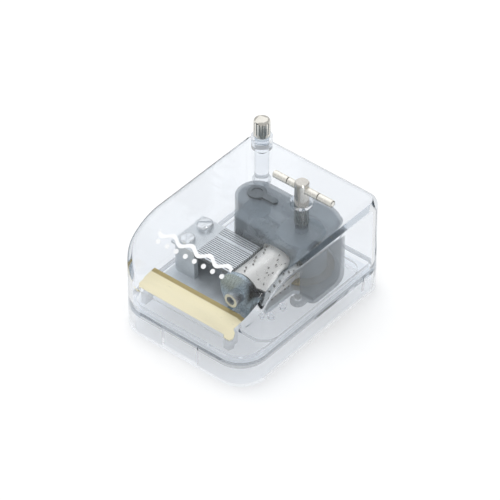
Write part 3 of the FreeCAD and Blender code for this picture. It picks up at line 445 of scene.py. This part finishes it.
@dataclass(frozen=True)
class SlottedMetal(Metal):
    """Metal with painted shade in a row of slots along Y.

    Attributes:
        first: Middle of one slot on Y.
        pitch: Distance from slot to slot.
        slot: Width of the painted shade of a slot.
        root: Place on X beyond which the slots run.
        mark: Colour of the painted shade in the slots.
    """

    first: float = 0.0
    pitch: float = 1.0 * MM
    slot: float = 0.2 * MM
    root: float = 0.0
    mark: Colour = (0.22, 0.235, 0.25)

    def marked(self, recipe: Recipe, colour: Socket) -> Socket:
        """Paint shade into the slots.

        Args:
            recipe: Material being made.
            colour: Colour of the plain metal.

        Returns:
            A colour socket.
        """
        along = recipe.directions()
        run = recipe.maths("SUBTRACT", along.outputs["Y"], self.first)
        steps = recipe.maths("DIVIDE", run, self.pitch)
        stray = recipe.maths("ABSOLUTE", recipe.maths("SUBTRACT", steps, recipe.maths("ROUND", steps)))
        in_slot_shade = recipe.maths("LESS_THAN", stray, self.slot / self.pitch / 2)
        in_teeth = recipe.maths("GREATER_THAN", along.outputs["X"], self.root)
        return recipe.marked(recipe.maths("MULTIPLY", in_slot_shade, in_teeth), colour, self.mark)


@dataclass(frozen=True)
class MouldedPlastic(GrainedFinish):
    """Opaque or see-through moulded plastic with a fine satin skin, which bends no light."""

    ior: float = 1.49
    grain: float = 1800.0
    patch: float = 15.0
    variation: float = 0.1
    light_share: float = 1.0
    unevenness: float = 0.25
    bump: float = 0.3
    relief: float = 0.008 * MM


@dataclass(frozen=True)
class GoldFoil(GrainedFinish):
    """Satin gold foil with painted shade: a darker band along the plate's back edge."""

    metallic: float = 0.25
    grain: float = 3000.0
    stretch: Place = (0.15, 1.0, 1.0)
    patch: float = 20.0
    variation: float = 0.1
    light_share: float = 0.6
    unevenness: float = 0.2
    bump: float = 0.3
    painted_shade_colour: Colour = (0.42, 0.33, 0.14)
    painted_shade_y: float = -21.0 * MM
    painted_shade_soft: float = 0.3 * MM

    def marked(self, recipe: Recipe, colour: Socket) -> Socket:
        """Paint shade as a darker band along the plate's back edge.

        Args:
            recipe: Material being made.
            colour: Colour of the plain foil.

        Returns:
            A colour socket.
        """
        y = recipe.directions().outputs["Y"]
        band = recipe.spread(y, 0.0, 1.0, self.painted_shade_y, self.painted_shade_y + self.painted_shade_soft)
        return recipe.marked(band, colour, self.painted_shade_colour)


@dataclass(frozen=True)
class ClearPlastic(Finish):
    """Clear moulded plastic that lets the lamps light what is inside it.

    Attributes:
        edge: Tint of a ray that is let straight through, after too many mirrorings.
        shade: Tint of the light that falls through the plastic.
        ior: Index of refraction.
        most_mirrorings: Number of mirrorings past which a ray is let through.
        ripple: Waves of the skin per metre.
        unevenness: Share by which the roughness strays.
        bump: Share of the relief that shows.
        relief: Height of the waves in metres.
    """

    edge: Colour = (0.9, 0.92, 0.94)
    shade: Colour = (0.935, 0.955, 0.975)
    ior: float = 1.33
    most_mirrorings: float = 1.5
    ripple: float = 90.0
    unevenness: float = 0.5
    bump: float = 0.2
    relief: float = 0.02 * MM

    def mix(self, recipe: Recipe) -> bpy.types.Material:
        """Put the clear plastic's nodes together.

        Args:
            recipe: Empty material.

        Returns:
            The finished material.
        """
        wave = recipe.noise(recipe.places(), self.ripple)
        plastic = recipe.add("ShaderNodeBsdfPrincipled", Base_Color=(*self.colour, 1.0), IOR=self.ior,
                             Transmission_Weight=1.0)
        recipe.link(recipe.polish(wave, self.roughness, self.unevenness), plastic.inputs["Roughness"])
        recipe.link(recipe.bump(wave, self.bump, self.relief), plastic.inputs["Normal"])
        path = recipe.add("ShaderNodeLightPath")
        trapped = recipe.maths("GREATER_THAN", path.outputs["Glossy Depth"], self.most_mirrorings)
        way_out = recipe.add("ShaderNodeBsdfTransparent", Color=(*self.edge, 1.0))
        shadow = recipe.add("ShaderNodeBsdfTransparent", Color=(*self.shade, 1.0))
        freed = recipe.blend(trapped, plastic, way_out)
        return recipe.finish(recipe.blend(path.outputs["Is Shadow Ray"], freed, shadow))


@dataclass(frozen=True)
class FeltCloth(Finish):
    """Pressed felt with matted fibres."""

    fibres: float = 6000.0
    stretch: Place = (1.0, 1.0, 0.4)
    detail: float = 6.0
    sheen: float = 0.4
    variation: float = 0.3
    bump: float = 0.8
    relief: float = 0.05 * MM

    def mix(self, recipe: Recipe) -> bpy.types.Material:
        """Put the felt's nodes together.

        Args:
            recipe: Empty material.

        Returns:
            The finished material.
        """
        matting = recipe.noise(recipe.places(self.stretch), self.fibres, self.detail)
        felt = recipe.add("ShaderNodeBsdfPrincipled", Roughness=self.roughness, Sheen_Weight=self.sheen)
        dark, light = (shaded(self.colour, share) for share in (-self.variation, self.variation))
        recipe.link(recipe.tones(matting, dark, light), felt.inputs["Base Color"])
        recipe.link(recipe.bump(matting, self.bump, self.relief), felt.inputs["Normal"])
        return recipe.finish(felt)


CLEAR = ClearPlastic("clear_cover", (0.94, 0.955, 0.975), 0.02)
CLEAR_TRAY = ClearPlastic("clear_tray", (0.925, 0.945, 0.97), 0.03, shade=(0.62, 0.65, 0.69), ior=1.24)
SMOKE = MouldedPlastic("smoke_housing", (0.2, 0.245, 0.28), 0.14, alpha=0.46, relief=0.002 * MM)
GOLD = GoldFoil("gold_plate_foil", (0.92, 0.82, 0.55), 0.34)
ZINC = Metal("cast_zinc", (0.7, 0.74, 0.77), 0.42, variation=0.14, metallic=0.4)
# Painted shade: dark stripes along the comb's slots, beyond the root of the teeth.
COMB_STEEL = SlottedMetal("comb_spring_steel", (0.74, 0.77, 0.79), 0.32, grain=6000.0, variation=0.05,
                          relief=0.003 * MM, metallic=0.75, first=-11.16 * MM, pitch=0.84 * MM,
                          slot=0.3 * MM, root=-12.8 * MM)
LEAD = Metal("lead_weights", (0.24, 0.25, 0.27), 0.5)
SCREW_STEEL = Metal("zinc_plated_screw", (0.93, 0.95, 0.97), 0.2, variation=0.08, metallic=0.75)
BUSH_STEEL = Metal("turned_bush", (0.84, 0.86, 0.87), 0.32)
# Painted shade: the skin from about 12 to 20 mm along X is blended to near black, so the bearing's right
# side looks shaded.
BEARING_PAINTED_SHADE = SteppedMetal("bearing_painted_side_shade", (0.44, 0.52, 0.57), 0.28, variation=0.06,
                          relief=0.003 * MM, metallic=0.6, across=(1.0, 0.0, 0.0), inner=12.2 * MM,
                          outer=20.0 * MM, soft=1.3 * MM, mark=(0.02, 0.022, 0.025))
NICKEL = Metal("nickel_plate", (0.9, 0.875, 0.81), 0.15, variation=0.08, relief=0.003 * MM)
HUB_NICKEL = Metal("turned_nickel", (0.74, 0.72, 0.68), 0.24, stretch=(1.0, 1.0, 0.08), variation=0.1,
                   relief=0.004 * MM)
# Painted shade: the skin 0.85 to 1.12 mm from the bar's axis is darkened, which shades the bottoms of
# the ring grooves and paints a dark ring on each end face.
BAR_NICKEL = SteppedMetal("nickel_painted_groove_shade", (0.97, 0.95, 0.88), 0.24, variation=0.04,
                          relief=0.002 * MM, metallic=0.65, middle=(0.0, 15.3 * MM, 43.4 * MM),
                          across=(0.0, 1.0, 1.0), inner=0.85 * MM, outer=1.12 * MM)
DRUM = SteppedMetal("cylinder_drum", (0.93, 0.91, 0.87), 0.36, stretch=(1.0, 0.3, 1.0), variation=0.08,
                    relief=0.004 * MM, metallic=0.75, middle=(8.8 * MM, 0.0, 19.0 * MM),
                    inner=6.53 * MM, outer=8.0 * MM, mark=(0.3, 0.29, 0.27))
STEEL = Metal("ground_steel", (0.6, 0.61, 0.62), 0.22)
PIN_STEEL = Metal("pin_steel", (0.22, 0.21, 0.2), 0.35)
BRASS = Metal("turned_brass", (0.72, 0.55, 0.26), 0.25)
SPRING = Metal("blued_spring", (0.2, 0.22, 0.28), 0.25)
WHITE = MouldedPlastic("white_gear_plastic", (0.72, 0.72, 0.69), 0.38)
BLACK = MouldedPlastic("black_moulding", (0.018, 0.019, 0.021), 0.3)
CAP_GREY = MouldedPlastic("cap_moulding", (0.1, 0.118, 0.13), 0.3)
STAND = MouldedPlastic("clear_stand", (0.82, 0.85, 0.88), 0.08, alpha=0.28, variation=0.03,
                       relief=0.002 * MM)
FROST = MouldedPlastic("frosted_arm", (0.72, 0.75, 0.77), 0.3, alpha=0.4)
FELT = FeltCloth("brake_felt", (0.25, 0.05, 0.05), 0.95)
INK = MouldedPlastic("white_print", (0.86, 0.87, 0.88), 0.45, variation=0.04)


def placed(name: str, data: bpy.types.ID) -> bpy.types.Object:
    """Make an object and put it in the scene.

    Args:
        name: Name of the object.
        data: Its mesh, lamp or camera.

    Returns:
        The object, at the origin.
    """
    thing = bpy.data.objects.new(name, data)
    bpy.context.scene.collection.objects.link(thing)
    return thing


class Blank:
    """A mesh being shaped, which ends as one object at the origin."""

    def __init__(self) -> None:
        """Start with nothing."""
        self.mesh = bmesh.new()

    def take(self, other: "Blank", place: Matrix) -> None:
        """Add a copy of another blank.

        Args:
            other: Blank to copy.
            place: Where the copy goes.
        """
        carrier = bpy.data.meshes.new("carrier")
        other.mesh.to_mesh(carrier)
        carrier.transform(place)
        self.mesh.from_mesh(carrier)
        bpy.data.meshes.remove(carrier)

    def spin(self, outline: Sequence[Pair], steps: int = 40) -> None:
        """Turn an outline round the Z axis.

        Args:
            outline: Points as distance from the axis and height.
            steps: Number of faces round the axis.
        """
        points = [self.mesh.verts.new((reach, 0.0, height)) for reach, height in outline]
        edges = [self.mesh.edges.new(pair) for pair in zip(points, points[1:])]
        bmesh.ops.spin(self.mesh, geom=points + edges, cent=(0.0, 0.0, 0.0), axis=(0.0, 0.0, 1.0),
                       angle=FULL_TURN, steps=steps, use_merge=True)
        bmesh.ops.remove_doubles(self.mesh, verts=self.mesh.verts, dist=WELD_DISTANCE)
        bmesh.ops.recalc_face_normals(self.mesh, faces=self.mesh.faces)

    def soften(self, chosen: Callable[[bmesh.types.BMEdge], bool], width: float,
               segments: int = 3) -> None:
        """Round off edges.

        Args:
            chosen: Test that picks the edges.
            width: Width of the rounding.
            segments: Faces across it.
        """
        edges = [edge for edge in self.mesh.edges if chosen(edge)]
        bmesh.ops.bevel(self.mesh, geom=edges, offset=width, affect="EDGES", segments=segments,
                        profile=0.5, material=-1)

    def keep_beyond(self, distance: float) -> None:
        """Cut the mesh by a plane across X, keep what lies beyond it and close the cut.

        Args:
            distance: Place of the plane on X.
        """
        everything = list(self.mesh.verts) + list(self.mesh.edges) + list(self.mesh.faces)
        bmesh.ops.bisect_plane(self.mesh, geom=everything, dist=WELD_DISTANCE,
                               plane_co=(distance, 0.0, 0.0), plane_no=(1.0, 0.0, 0.0), clear_inner=True)
        bmesh.ops.holes_fill(self.mesh, edges=[edge for edge in self.mesh.edges if edge.is_boundary])
        bmesh.ops.recalc_face_normals(self.mesh, faces=self.mesh.faces)

    def piece(self, name: str, body: Body, finish: Finish) -> bpy.types.Object:
        """Make the object, shade it and let it ride on a body.

        Args:
            name: Name of the piece.
            body: Body that carries it.
            finish: Its surface.

        Returns:
            The finished piece.
        """
        data = bpy.data.meshes.new(name)
        for face in self.mesh.faces:
            face.smooth = True
        self.mesh.to_mesh(data)
        self.mesh.free()
        data.set_sharp_from_angle(angle=SHARP_ANGLE)
        data.materials.append(finish.material())
        thing = placed(name, data)
        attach(thing, body.value)
        log.info("piece %s rides on %s", name, body.value)
        return thing


@dataclass(frozen=True)
class SlottedScrew:
    """Round-headed screw with a straight slot."""

    head_radius: float
    height: float
    slot_width: float
    slot_depth: float
    stem: float = 0.4 * MM
    rim_share: float = 0.7
    rim_faces: int = 4

    def blank(self) -> Blank:
        """Make the screw's head and the top of its stem, seat at height 0.

        Returns:
            The blank, with its slot along Y.
        """
        rim = self.head_radius
        floor = self.height - self.slot_depth
        lower = Blank()
        lower.spin([(0.0, -self.stem), (rim / 2, -self.stem), (rim / 2, 0.0), (rim, 0.0), (rim, floor),
                    (0.0, floor)])
        half = Blank()
        half.spin([(0.0, floor), (rim, floor), (rim, self.height), (0.0, self.height)])
        half.soften(self.is_rim, self.slot_depth * self.rim_share, self.rim_faces)
        half.keep_beyond(self.slot_width / 2)
        lower.take(half, Matrix.Identity(4))
        lower.take(half, Matrix.Rotation(math.pi, 4, "Z"))
        half.mesh.free()
        return lower

    def is_rim(self, edge: bmesh.types.BMEdge) -> bool:
        """Tell whether an edge lies on the head's upper rim."""
        return all(math.isclose(point.co.z, self.height, abs_tol=WELD_DISTANCE)
                   and math.isclose(point.co.xy.length, self.head_radius, rel_tol=RIM_TOLERANCE)
                   for point in edge.verts)


@dataclass
class SubAssembly:
    """Pieces that are built and dressed together."""

    nodes: dict[str, bpy.types.Object]

    def build(self) -> None:
        """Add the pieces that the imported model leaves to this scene."""

    def dress(self) -> None:
        """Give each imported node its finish."""
        raise NotImplementedError

    def coat(self, finish: Finish, *names: str, edge: float = 0.0) -> None:
        """Give nodes a finish, smooth their round faces and soften their edges.

        Args:
            finish: Surface to give.
            names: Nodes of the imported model.
            edge: Width of the softened edges, or 0 for none.
        """
        for name in names:
            node = self.nodes[name]
            node.data.materials.clear()
            node.data.materials.append(finish.material())
            node.data.shade_smooth()
            weld = node.modifiers.new("join", "WELD")
            weld.merge_threshold = WELD_DISTANCE
            if edge:
                bevel = node.modifiers.new("edges", "BEVEL")
                bevel.width = edge
                bevel.segments = EDGE_FACES
                bevel.limit_method = "ANGLE"
                bevel.angle_limit = SHARP_ANGLE
                bevel.use_clamp_overlap = False
            split = node.modifiers.new("creases", "EDGE_SPLIT")
            split.split_angle = SHARP_ANGLE
            flat = node.modifiers.new("flat faces", "WEIGHTED_NORMAL")
            flat.weight = FLAT_FACE_WEIGHT
            log.info("node %s wears %s", name, finish.name)


@dataclass
class CaseShell(SubAssembly):
    """Clear tray, domed cover and label stand, with a rippled line and dots printed on the dome."""

    dome_radius: float = 21.0 * MM
    dome_y: float = -13.9 * MM
    dome_z: float = 17.0 * MM
    print_lift: float = 0.03 * MM
    print_depth: float = 0.04 * MM
    wave_length: float = 30.0 * MM
    wave_height: float = 0.9 * MM
    wave_width: float = 1.5 * MM
    wave_steps: int = 120
    wave_count: int = 4
    wave_row: float = 9.6 * MM
    dot_row: float = 12.6 * MM
    dot_radius: float = 0.85 * MM
    dot_count: int = 8
    dot_sides: int = 24
    print_x: float = -3.0 * MM

    def build(self) -> None:
        """Print a rippled line and a row of dots on the dome."""
        ink = Blank()
        self.add_ripple(ink)
        for count in range(self.dot_count):
            spot = bmesh.ops.create_circle(ink.mesh, cap_ends=True, segments=self.dot_sides,
                                           radius=self.dot_radius)
            across = self.wave_length * ((count + 0.5) / self.dot_count - 0.5)
            bmesh.ops.translate(ink.mesh, verts=spot["verts"], vec=(across, self.dot_row, 0.0))
        layer = bmesh.ops.extrude_face_region(ink.mesh, geom=list(ink.mesh.faces), use_keep_orig=True)
        upper = [part for part in layer["geom"] if isinstance(part, bmesh.types.BMVert)]
        bmesh.ops.translate(ink.mesh, verts=upper, vec=(0.0, 0.0, self.print_depth))
        for point in ink.mesh.verts:
            point.co = self.on_dome(point.co)
        bmesh.ops.recalc_face_normals(ink.mesh, faces=ink.mesh.faces)
        ink.piece("dome_print", Body.CASE, INK)

    def add_ripple(self, ink: Blank) -> None:
        """Add a line of even ripples to the flat print.

        Args:
            ink: Print being drawn.
        """
        strip = bmesh.ops.create_grid(ink.mesh, x_segments=self.wave_steps, y_segments=1, size=HALF_UNIT)
        for point in strip["verts"]:
            across, side = point.co.x, point.co.y
            swing = self.wave_height * math.sin(FULL_TURN * self.wave_count * across)
            point.co = (across * self.wave_length, self.wave_row + swing + side * self.wave_width, 0.0)

    def on_dome(self, flat: Vector) -> Vector:
        """Lay a point of the flat print on the dome.

        Args:
            flat: Place across the print, distance forward from the dome's top line, and height.

        Returns:
            The point just above the dome.
        """
        angle = flat.y / self.dome_radius
        reach = self.dome_radius + self.print_lift + flat.z
        return Vector((flat.x + self.print_x, self.dome_y - reach * math.sin(angle),
                       self.dome_z + reach * math.cos(angle)))

    def dress(self) -> None:
        """Make the case clear."""
        self.coat(CLEAR_TRAY, "base_tray")
        self.coat(CLEAR, "case_cover")
        self.coat(STAND, "label_holder")


@dataclass
class NamePlate(SubAssembly):
    """Plain gold plate on the stand behind the front wall."""

    plate_edge: float = 0.06 * MM

    def dress(self) -> None:
        """Foil the plate."""
        self.coat(GOLD, "name_plate", edge=self.plate_edge)


@dataclass
class CombSet(SubAssembly):
    """Steel comb on its bed, with damping weights and two large screws."""

    bed_edge: float = 0.05 * MM
    slot_width: float = 0.8 * MM
    slot_depth: float = 0.9 * MM
    slot_turns: Pair = (math.radians(35.0), math.radians(-50.0))

    def build(self) -> None:
        """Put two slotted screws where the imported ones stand."""
        low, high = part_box("comb_screws")
        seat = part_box("comb")[1].z
        head = (high.x - low.x) / 2
        screw = SlottedScrew(head, high.z - seat, self.slot_width, self.slot_depth).blank()
        pair = Blank()
        for y, turn in zip((low.y + head, high.y - head), self.slot_turns):
            pair.take(screw, Matrix.Translation((low.x + head, y, seat)) @ Matrix.Rotation(turn, 4, "Z"))
        screw.mesh.free()
        heads = pair.piece("comb_screw_heads", Body.CASE, SCREW_STEEL)
        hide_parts("comb_screws")

    def dress(self) -> None:
        """Finish the comb, its weights and its bed."""
        self.coat(COMB_STEEL, "comb")
        self.coat(LEAD, "comb_weights")
        self.coat(SCREW_STEEL, "comb_screws")
        self.coat(ZINC, "movement_frame", edge=self.bed_edge)


@dataclass
class CylinderSet(SubAssembly):
    """Pinned cylinder with its ends, arbor, gear and front bearing."""

    pin_radius: float = 0.11 * MM
    pin_taper: float = 0.8
    pin_height: float = 0.4 * MM
    pin_sides: int = 6
    tracks: int = 18
    pins_per_track: int = 4
    end_margin: float = 0.7 * MM
    stride: float = math.radians(37.0)
    skip: float = math.radians(101.0)
    sway: float = 0.3
    sway_rate: float = 5.0
    bearing_edge: float = 0.08 * MM

    def build(self) -> None:
        """Set rows of fine pins into the drum."""
        low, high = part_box("cylinder_ends")
        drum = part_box("pin_cylinder")
        axis = Vector(((low.x + high.x) / 2, 0.0, (low.z + high.z) / 2))
        radius = (high.x - low.x) / 2
        first, last = drum[0].y + self.end_margin, drum[1].y - self.end_margin
        pins = Blank()
        for track in range(self.tracks):
            y = first + (last - first) * track / (self.tracks - 1)
            for beat in range(self.pins_per_track):
                sway = self.sway * math.sin(self.sway_rate * beat + track)
                turn = track * self.skip + beat * self.stride + sway
                self.add_pin(pins, axis + Vector((0.0, y, 0.0)), turn, radius)
        pins.piece("cylinder_pins", Body.CYLINDER, PIN_STEEL)

    def add_pin(self, pins: Blank, middle: Vector, turn: float, radius: float) -> None:
        """Add one pin that stands out of the drum.

        Args:
            pins: Mesh of all the pins.
            middle: Point of the axis that the pin points away from.
            turn: Angle round the axis.
            radius: Radius of the drum.
        """
        outward = Matrix.Rotation(turn, 4, "Y") @ Matrix.Translation((0.0, 0.0, radius))
        bmesh.ops.create_cone(pins.mesh, cap_ends=True, segments=self.pin_sides, radius1=self.pin_radius,
                              radius2=self.pin_radius * self.pin_taper, depth=self.pin_height,
                              matrix=Matrix.Translation(middle) @ outward)

    def dress(self) -> None:
        """Finish the drum and what carries it."""
        self.coat(DRUM, "pin_cylinder")
        self.coat(BRASS, "cylinder_ends")
        self.coat(STEEL, "cylinder_arbor")
        self.coat(WHITE, "cylinder_gear")
        # The bearing wears painted shade on its right side.
        self.coat(BEARING_PAINTED_SHADE, "front_bearing", edge=self.bearing_edge)
        self.coat(BUSH_STEEL, "bearing_bush")


@dataclass
class SpringDrive(SubAssembly):
    """Spring barrel with its great wheel, mainspring and one-way clutch."""

    def dress(self) -> None:
        """Finish the barrel and the spring."""
        self.coat(BRASS, "great_wheel")
        self.coat(ZINC, "spring_barrel", "barrel_lid")
        self.coat(SPRING, "mainspring", "one_way_clutch")


@dataclass
class Governor(SubAssembly):
    """Small wheels, worm and fan under the smoke-grey housing."""

    housing_edge: float = 0.12 * MM

    def dress(self) -> None:
        """Finish the train and its housing."""
        self.coat(WHITE, "idler_wheel", "worm_wheel")
        self.coat(BRASS, "governor_pinion")
        self.coat(STEEL, "idler_stud", "governor_arbor", "worm")
        self.coat(ZINC, "train_bracket")
        self.coat(BLACK, "fan")
        self.coat(CAP_GREY, "fly_top_cap")
        self.coat(SMOKE, "mechanism_housing", edge=self.housing_edge)


@dataclass
class WindingKey(SubAssembly):
    """T-shaped key on the winding arbor."""

    def dress(self) -> None:
        """Plate the key."""
        self.coat(HUB_NICKEL, "key_hub")
        self.coat(BAR_NICKEL, "key_bar")
        self.coat(STEEL, "winding_arbor")


@dataclass
class StopControl(SubAssembly):
    """Knurled knob on a clear shaft, with the arm and felt pad that hold the fan."""

    pad_edge: float = 0.25 * MM

    def build(self) -> None:
        """Make the felt pad with a softly rounded rim."""
        low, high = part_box("brake_pad")
        radius = (high.x - low.x) / 2
        pad = Blank()
        pad.spin([(0.0, low.z), (radius, low.z), (radius, high.z), (0.0, high.z)])
        pad.soften(lambda edge: edge.calc_face_angle(0.0) > SHARP_ANGLE, self.pad_edge)
        middle = Vector(((low.x + high.x) / 2, (low.y + high.y) / 2, 0.0))
        bmesh.ops.translate(pad.mesh, verts=pad.mesh.verts, vec=middle)
        felt = pad.piece("felt_pad", Body.STOP, FELT)
        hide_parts("brake_pad")

    def dress(self) -> None:
        """Finish the knob, its shaft and its arm."""
        self.coat(NICKEL, "stop_knob")
        self.coat(CLEAR, "stop_shaft")
        self.coat(FROST, "stop_arm")
        self.coat(FELT, "brake_pad")


@dataclass
class Fasteners(SubAssembly):
    """Small screws that hold the housing, the bearing and the movement."""

    ear: Pair = (17.2 * MM, 2.1 * MM)
    ear_top: float = 10.6 * MM
    foot: Pair = (8.8 * MM, -16.9 * MM)
    foot_top: float = 12.0 * MM
    floor_bottom: float = 6.4 * MM
    floor_spots: tuple[Pair, ...] = ((-17.0 * MM, -8.0 * MM), (6.0 * MM, -10.0 * MM),
                                     (-2.0 * MM, 22.0 * MM))
    screw: SlottedScrew = SlottedScrew(1.6 * MM, 1.0 * MM, 0.45 * MM, 0.5 * MM)
    floor_screw: SlottedScrew = SlottedScrew(2.0 * MM, 1.1 * MM, 0.6 * MM, 0.6 * MM)
    first_turn: float = 0.7
    next_turn: float = 1.9

    def build(self) -> None:
        """Set the screws on the housing's ear, on the bearing's foot and under the tray's floor."""
        upper = [(*self.ear, self.ear_top), (*self.foot, self.foot_top)]
        under = [(x, y, self.floor_bottom) for x, y in self.floor_spots]
        self.add_screws("small_screws", self.screw, upper, Pointing.UP)
        self.add_screws("floor_screws", self.floor_screw, under, Pointing.DOWN)

    def add_screws(self, name: str, screw: SlottedScrew, spots: Iterable[Place],
                   way: Pointing) -> None:
        """Add a set of like screws as one piece.

        Args:
            name: Name of the piece.
            screw: Screw to copy.
            spots: Seats of the heads.
            way: Way that the heads face.
        """
        blank = screw.blank()
        together = Blank()
        for count, spot in enumerate(spots):
            turn = self.first_turn + self.next_turn * count
            turned = Matrix.Rotation(way.value, 4, "X") @ Matrix.Rotation(turn, 4, "Z")
            together.take(blank, Matrix.Translation(spot) @ turned)
        blank.mesh.free()
        together.piece(name, Body.CASE, SCREW_STEEL)

    def dress(self) -> None:
        """Leave the screws as they were built."""


@dataclass
class Studio:
    """White floor, soft lamps, two cards for reflections and a camera at the photograph's angle."""

    floor_size: float = 4.0
    floor_share: float = 0.5
    floor_colour: Colour = (0.97, 0.975, 0.98)
    ambient: float = 0.68
    key_power: float = 3.1
    key_place: Place = (-0.24, 0.1, 0.7)
    key_size: float = 0.5
    glint_power: float = 0.35
    glint_place: Place = (0.42, -0.25, 0.6)
    glint_size: float = 0.12
    mirrored: float = 0.5
    dark_place: Place = (-0.32, -0.55, 0.13)
    dark_size: Pair = (0.5, 0.1)
    dark_brightness: float = 0.02
    white_place: Place = (-0.42, 0.16, 0.62)
    white_size: Pair = (1.1, 0.45)
    white_brightness: float = 1.0
    target: Place = (0.0, 0.0, 0.019)
    camera_place: Place = (0.6199, -0.7422, 0.8588)
    lens: float = 288.0
    sensor: float = 36.0
    shift: Pair = (0.0006, 0.017)

    def build(self) -> None:
        """Set up the floor, the world, the lamps, the cards and the camera."""
        bpy.context.scene.view_settings.view_transform = "Standard"
        self.add_floor()
        self.add_world()
        key = self.add_lamp("key_lamp", self.key_place, self.key_power, self.key_size)
        key.visible_glossy = key.visible_transmission = False
        self.add_lamp("glint_lamp", self.glint_place, self.glint_power, self.glint_size)
        self.add_card("dark_card", self.dark_place, self.dark_size, self.dark_brightness)
        white = self.add_card("white_card", self.white_place, self.white_size, self.white_brightness)
        white.visible_transmission = True
        self.add_camera()

    def seen_ray(self, wiring: Wiring) -> Socket:
        """Tell whether a ray shows the background, straight, in metal or through plastic.

        Args:
            wiring: Node tree to add to.

        Returns:
            A value socket that is 1 for such a ray.
        """
        path = wiring.add("ShaderNodeLightPath")
        shown = path.outputs["Is Camera Ray"]
        for ray in ("Is Glossy Ray", "Is Transmission Ray"):
            shown = wiring.maths("MAXIMUM", shown, path.outputs[ray])
        return shown

    def add_sheet(self, name: str, size: Pair, material: bpy.types.Material) -> bpy.types.Object:
        """Add a flat sheet.

        Args:
            name: Name of the sheet.
            size: Its width and height.
            material: Its surface.

        Returns:
            The sheet, level and at the origin.
        """
        sheet = bmesh.new()
        bmesh.ops.create_grid(sheet, x_segments=1, y_segments=1, size=HALF_UNIT)
        bmesh.ops.scale(sheet, vec=(*size, 1.0), verts=sheet.verts)
        data = bpy.data.meshes.new(name)
        sheet.to_mesh(data)
        sheet.free()
        data.materials.append(material)
        return placed(name, data)

    def add_floor(self) -> None:
        """Lay a white floor that keeps the object's shadow."""
        recipe = Recipe("studio_floor")
        matt = recipe.add("ShaderNodeBsdfDiffuse", Color=(*self.floor_colour, 1.0))
        glow = recipe.add("ShaderNodeEmission", Color=WHITE_LIGHT, Strength=1.0)
        share = recipe.maths("MULTIPLY", self.seen_ray(recipe), self.floor_share)
        surface = recipe.finish(recipe.blend(share, matt, glow))
        floor = self.add_sheet("studio_floor", (self.floor_size, self.floor_size), surface)

    def add_world(self) -> None:
        """Surround the object with white that shows, and softer light that falls."""
        world = bpy.data.worlds.new("studio_white")
        bpy.context.scene.world = world
        world.use_nodes = True
        wiring = Wiring(world.node_tree)
        background = wiring.tree.nodes["Background"]
        background.inputs["Color"].default_value = WHITE_LIGHT
        level = wiring.spread(self.seen_ray(wiring), self.ambient, 1.0)
        depth = wiring.add("ShaderNodeLightPath").outputs["Glossy Depth"]
        gloss = wiring.spread(depth, 1.0, self.mirrored)
        wiring.link(wiring.maths("MULTIPLY", level, gloss), background.inputs["Strength"])

    def add_lamp(self, name: str, place: Place, power: float, size: float) -> bpy.types.Object:
        """Hang a square soft lamp that faces the object.

        Args:
            name: Name of the lamp.
            place: Where it hangs.
            power: Its power in watts.
            size: Its width.

        Returns:
            The lamp.
        """
        data = bpy.data.lights.new(name, "AREA")
        data.energy = power
        data.size = size
        lamp = placed(name, data)
        self.aim(lamp, place)
        return lamp

    def add_card(self, name: str, place: Place, size: Pair, brightness: float) -> bpy.types.Object:
        """Stand a card that shows only in what mirrors it.

        Args:
            name: Name of the card.
            place: Where it stands.
            size: Its width and height.
            brightness: Brightness of its reflection, 1 for white.

        Returns:
            The card.
        """
        recipe = Recipe(name)
        glow = recipe.add("ShaderNodeEmission", Color=WHITE_LIGHT, Strength=brightness)
        card = self.add_sheet(name, size, recipe.finish(glow))
        self.aim(card, place)
        for kind in ("camera", "diffuse", "transmission", "shadow"):
            setattr(card, f"visible_{kind}", False)
        return card

    def add_camera(self) -> None:
        """Place the camera and make it the scene's own."""
        data = bpy.data.cameras.new("photo_view")
        data.lens = self.lens
        data.sensor_width = self.sensor
        data.shift_x, data.shift_y = self.shift
        camera = placed("photo_view", data)
        self.aim(camera, self.camera_place)
        bpy.context.scene.camera = camera

    def aim(self, thing: bpy.types.Object, place: Place) -> None:
        """Put a lamp, a card or the camera in its place, turned to the object.

        Args:
            thing: Lamp, card or camera.
            place: Where it stands.
        """
        sight = Vector(self.target) - Vector(place)
        thing.location = place
        thing.rotation_euler = sight.to_track_quat("-Z", "Y").to_euler()


def main() -> None:
    """Build, dress and light the music box."""
    logging.basicConfig(level=logging.INFO)
    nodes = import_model()["nodes"]
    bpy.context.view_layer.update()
    for group in (CaseShell, NamePlate, CombSet, CylinderSet, SpringDrive, Governor, WindingKey,
                  StopControl, Fasteners):
        assembly = group(nodes)
        assembly.dress()
        assembly.build()
    Studio().build()


if __name__ == "__main__":
    main()
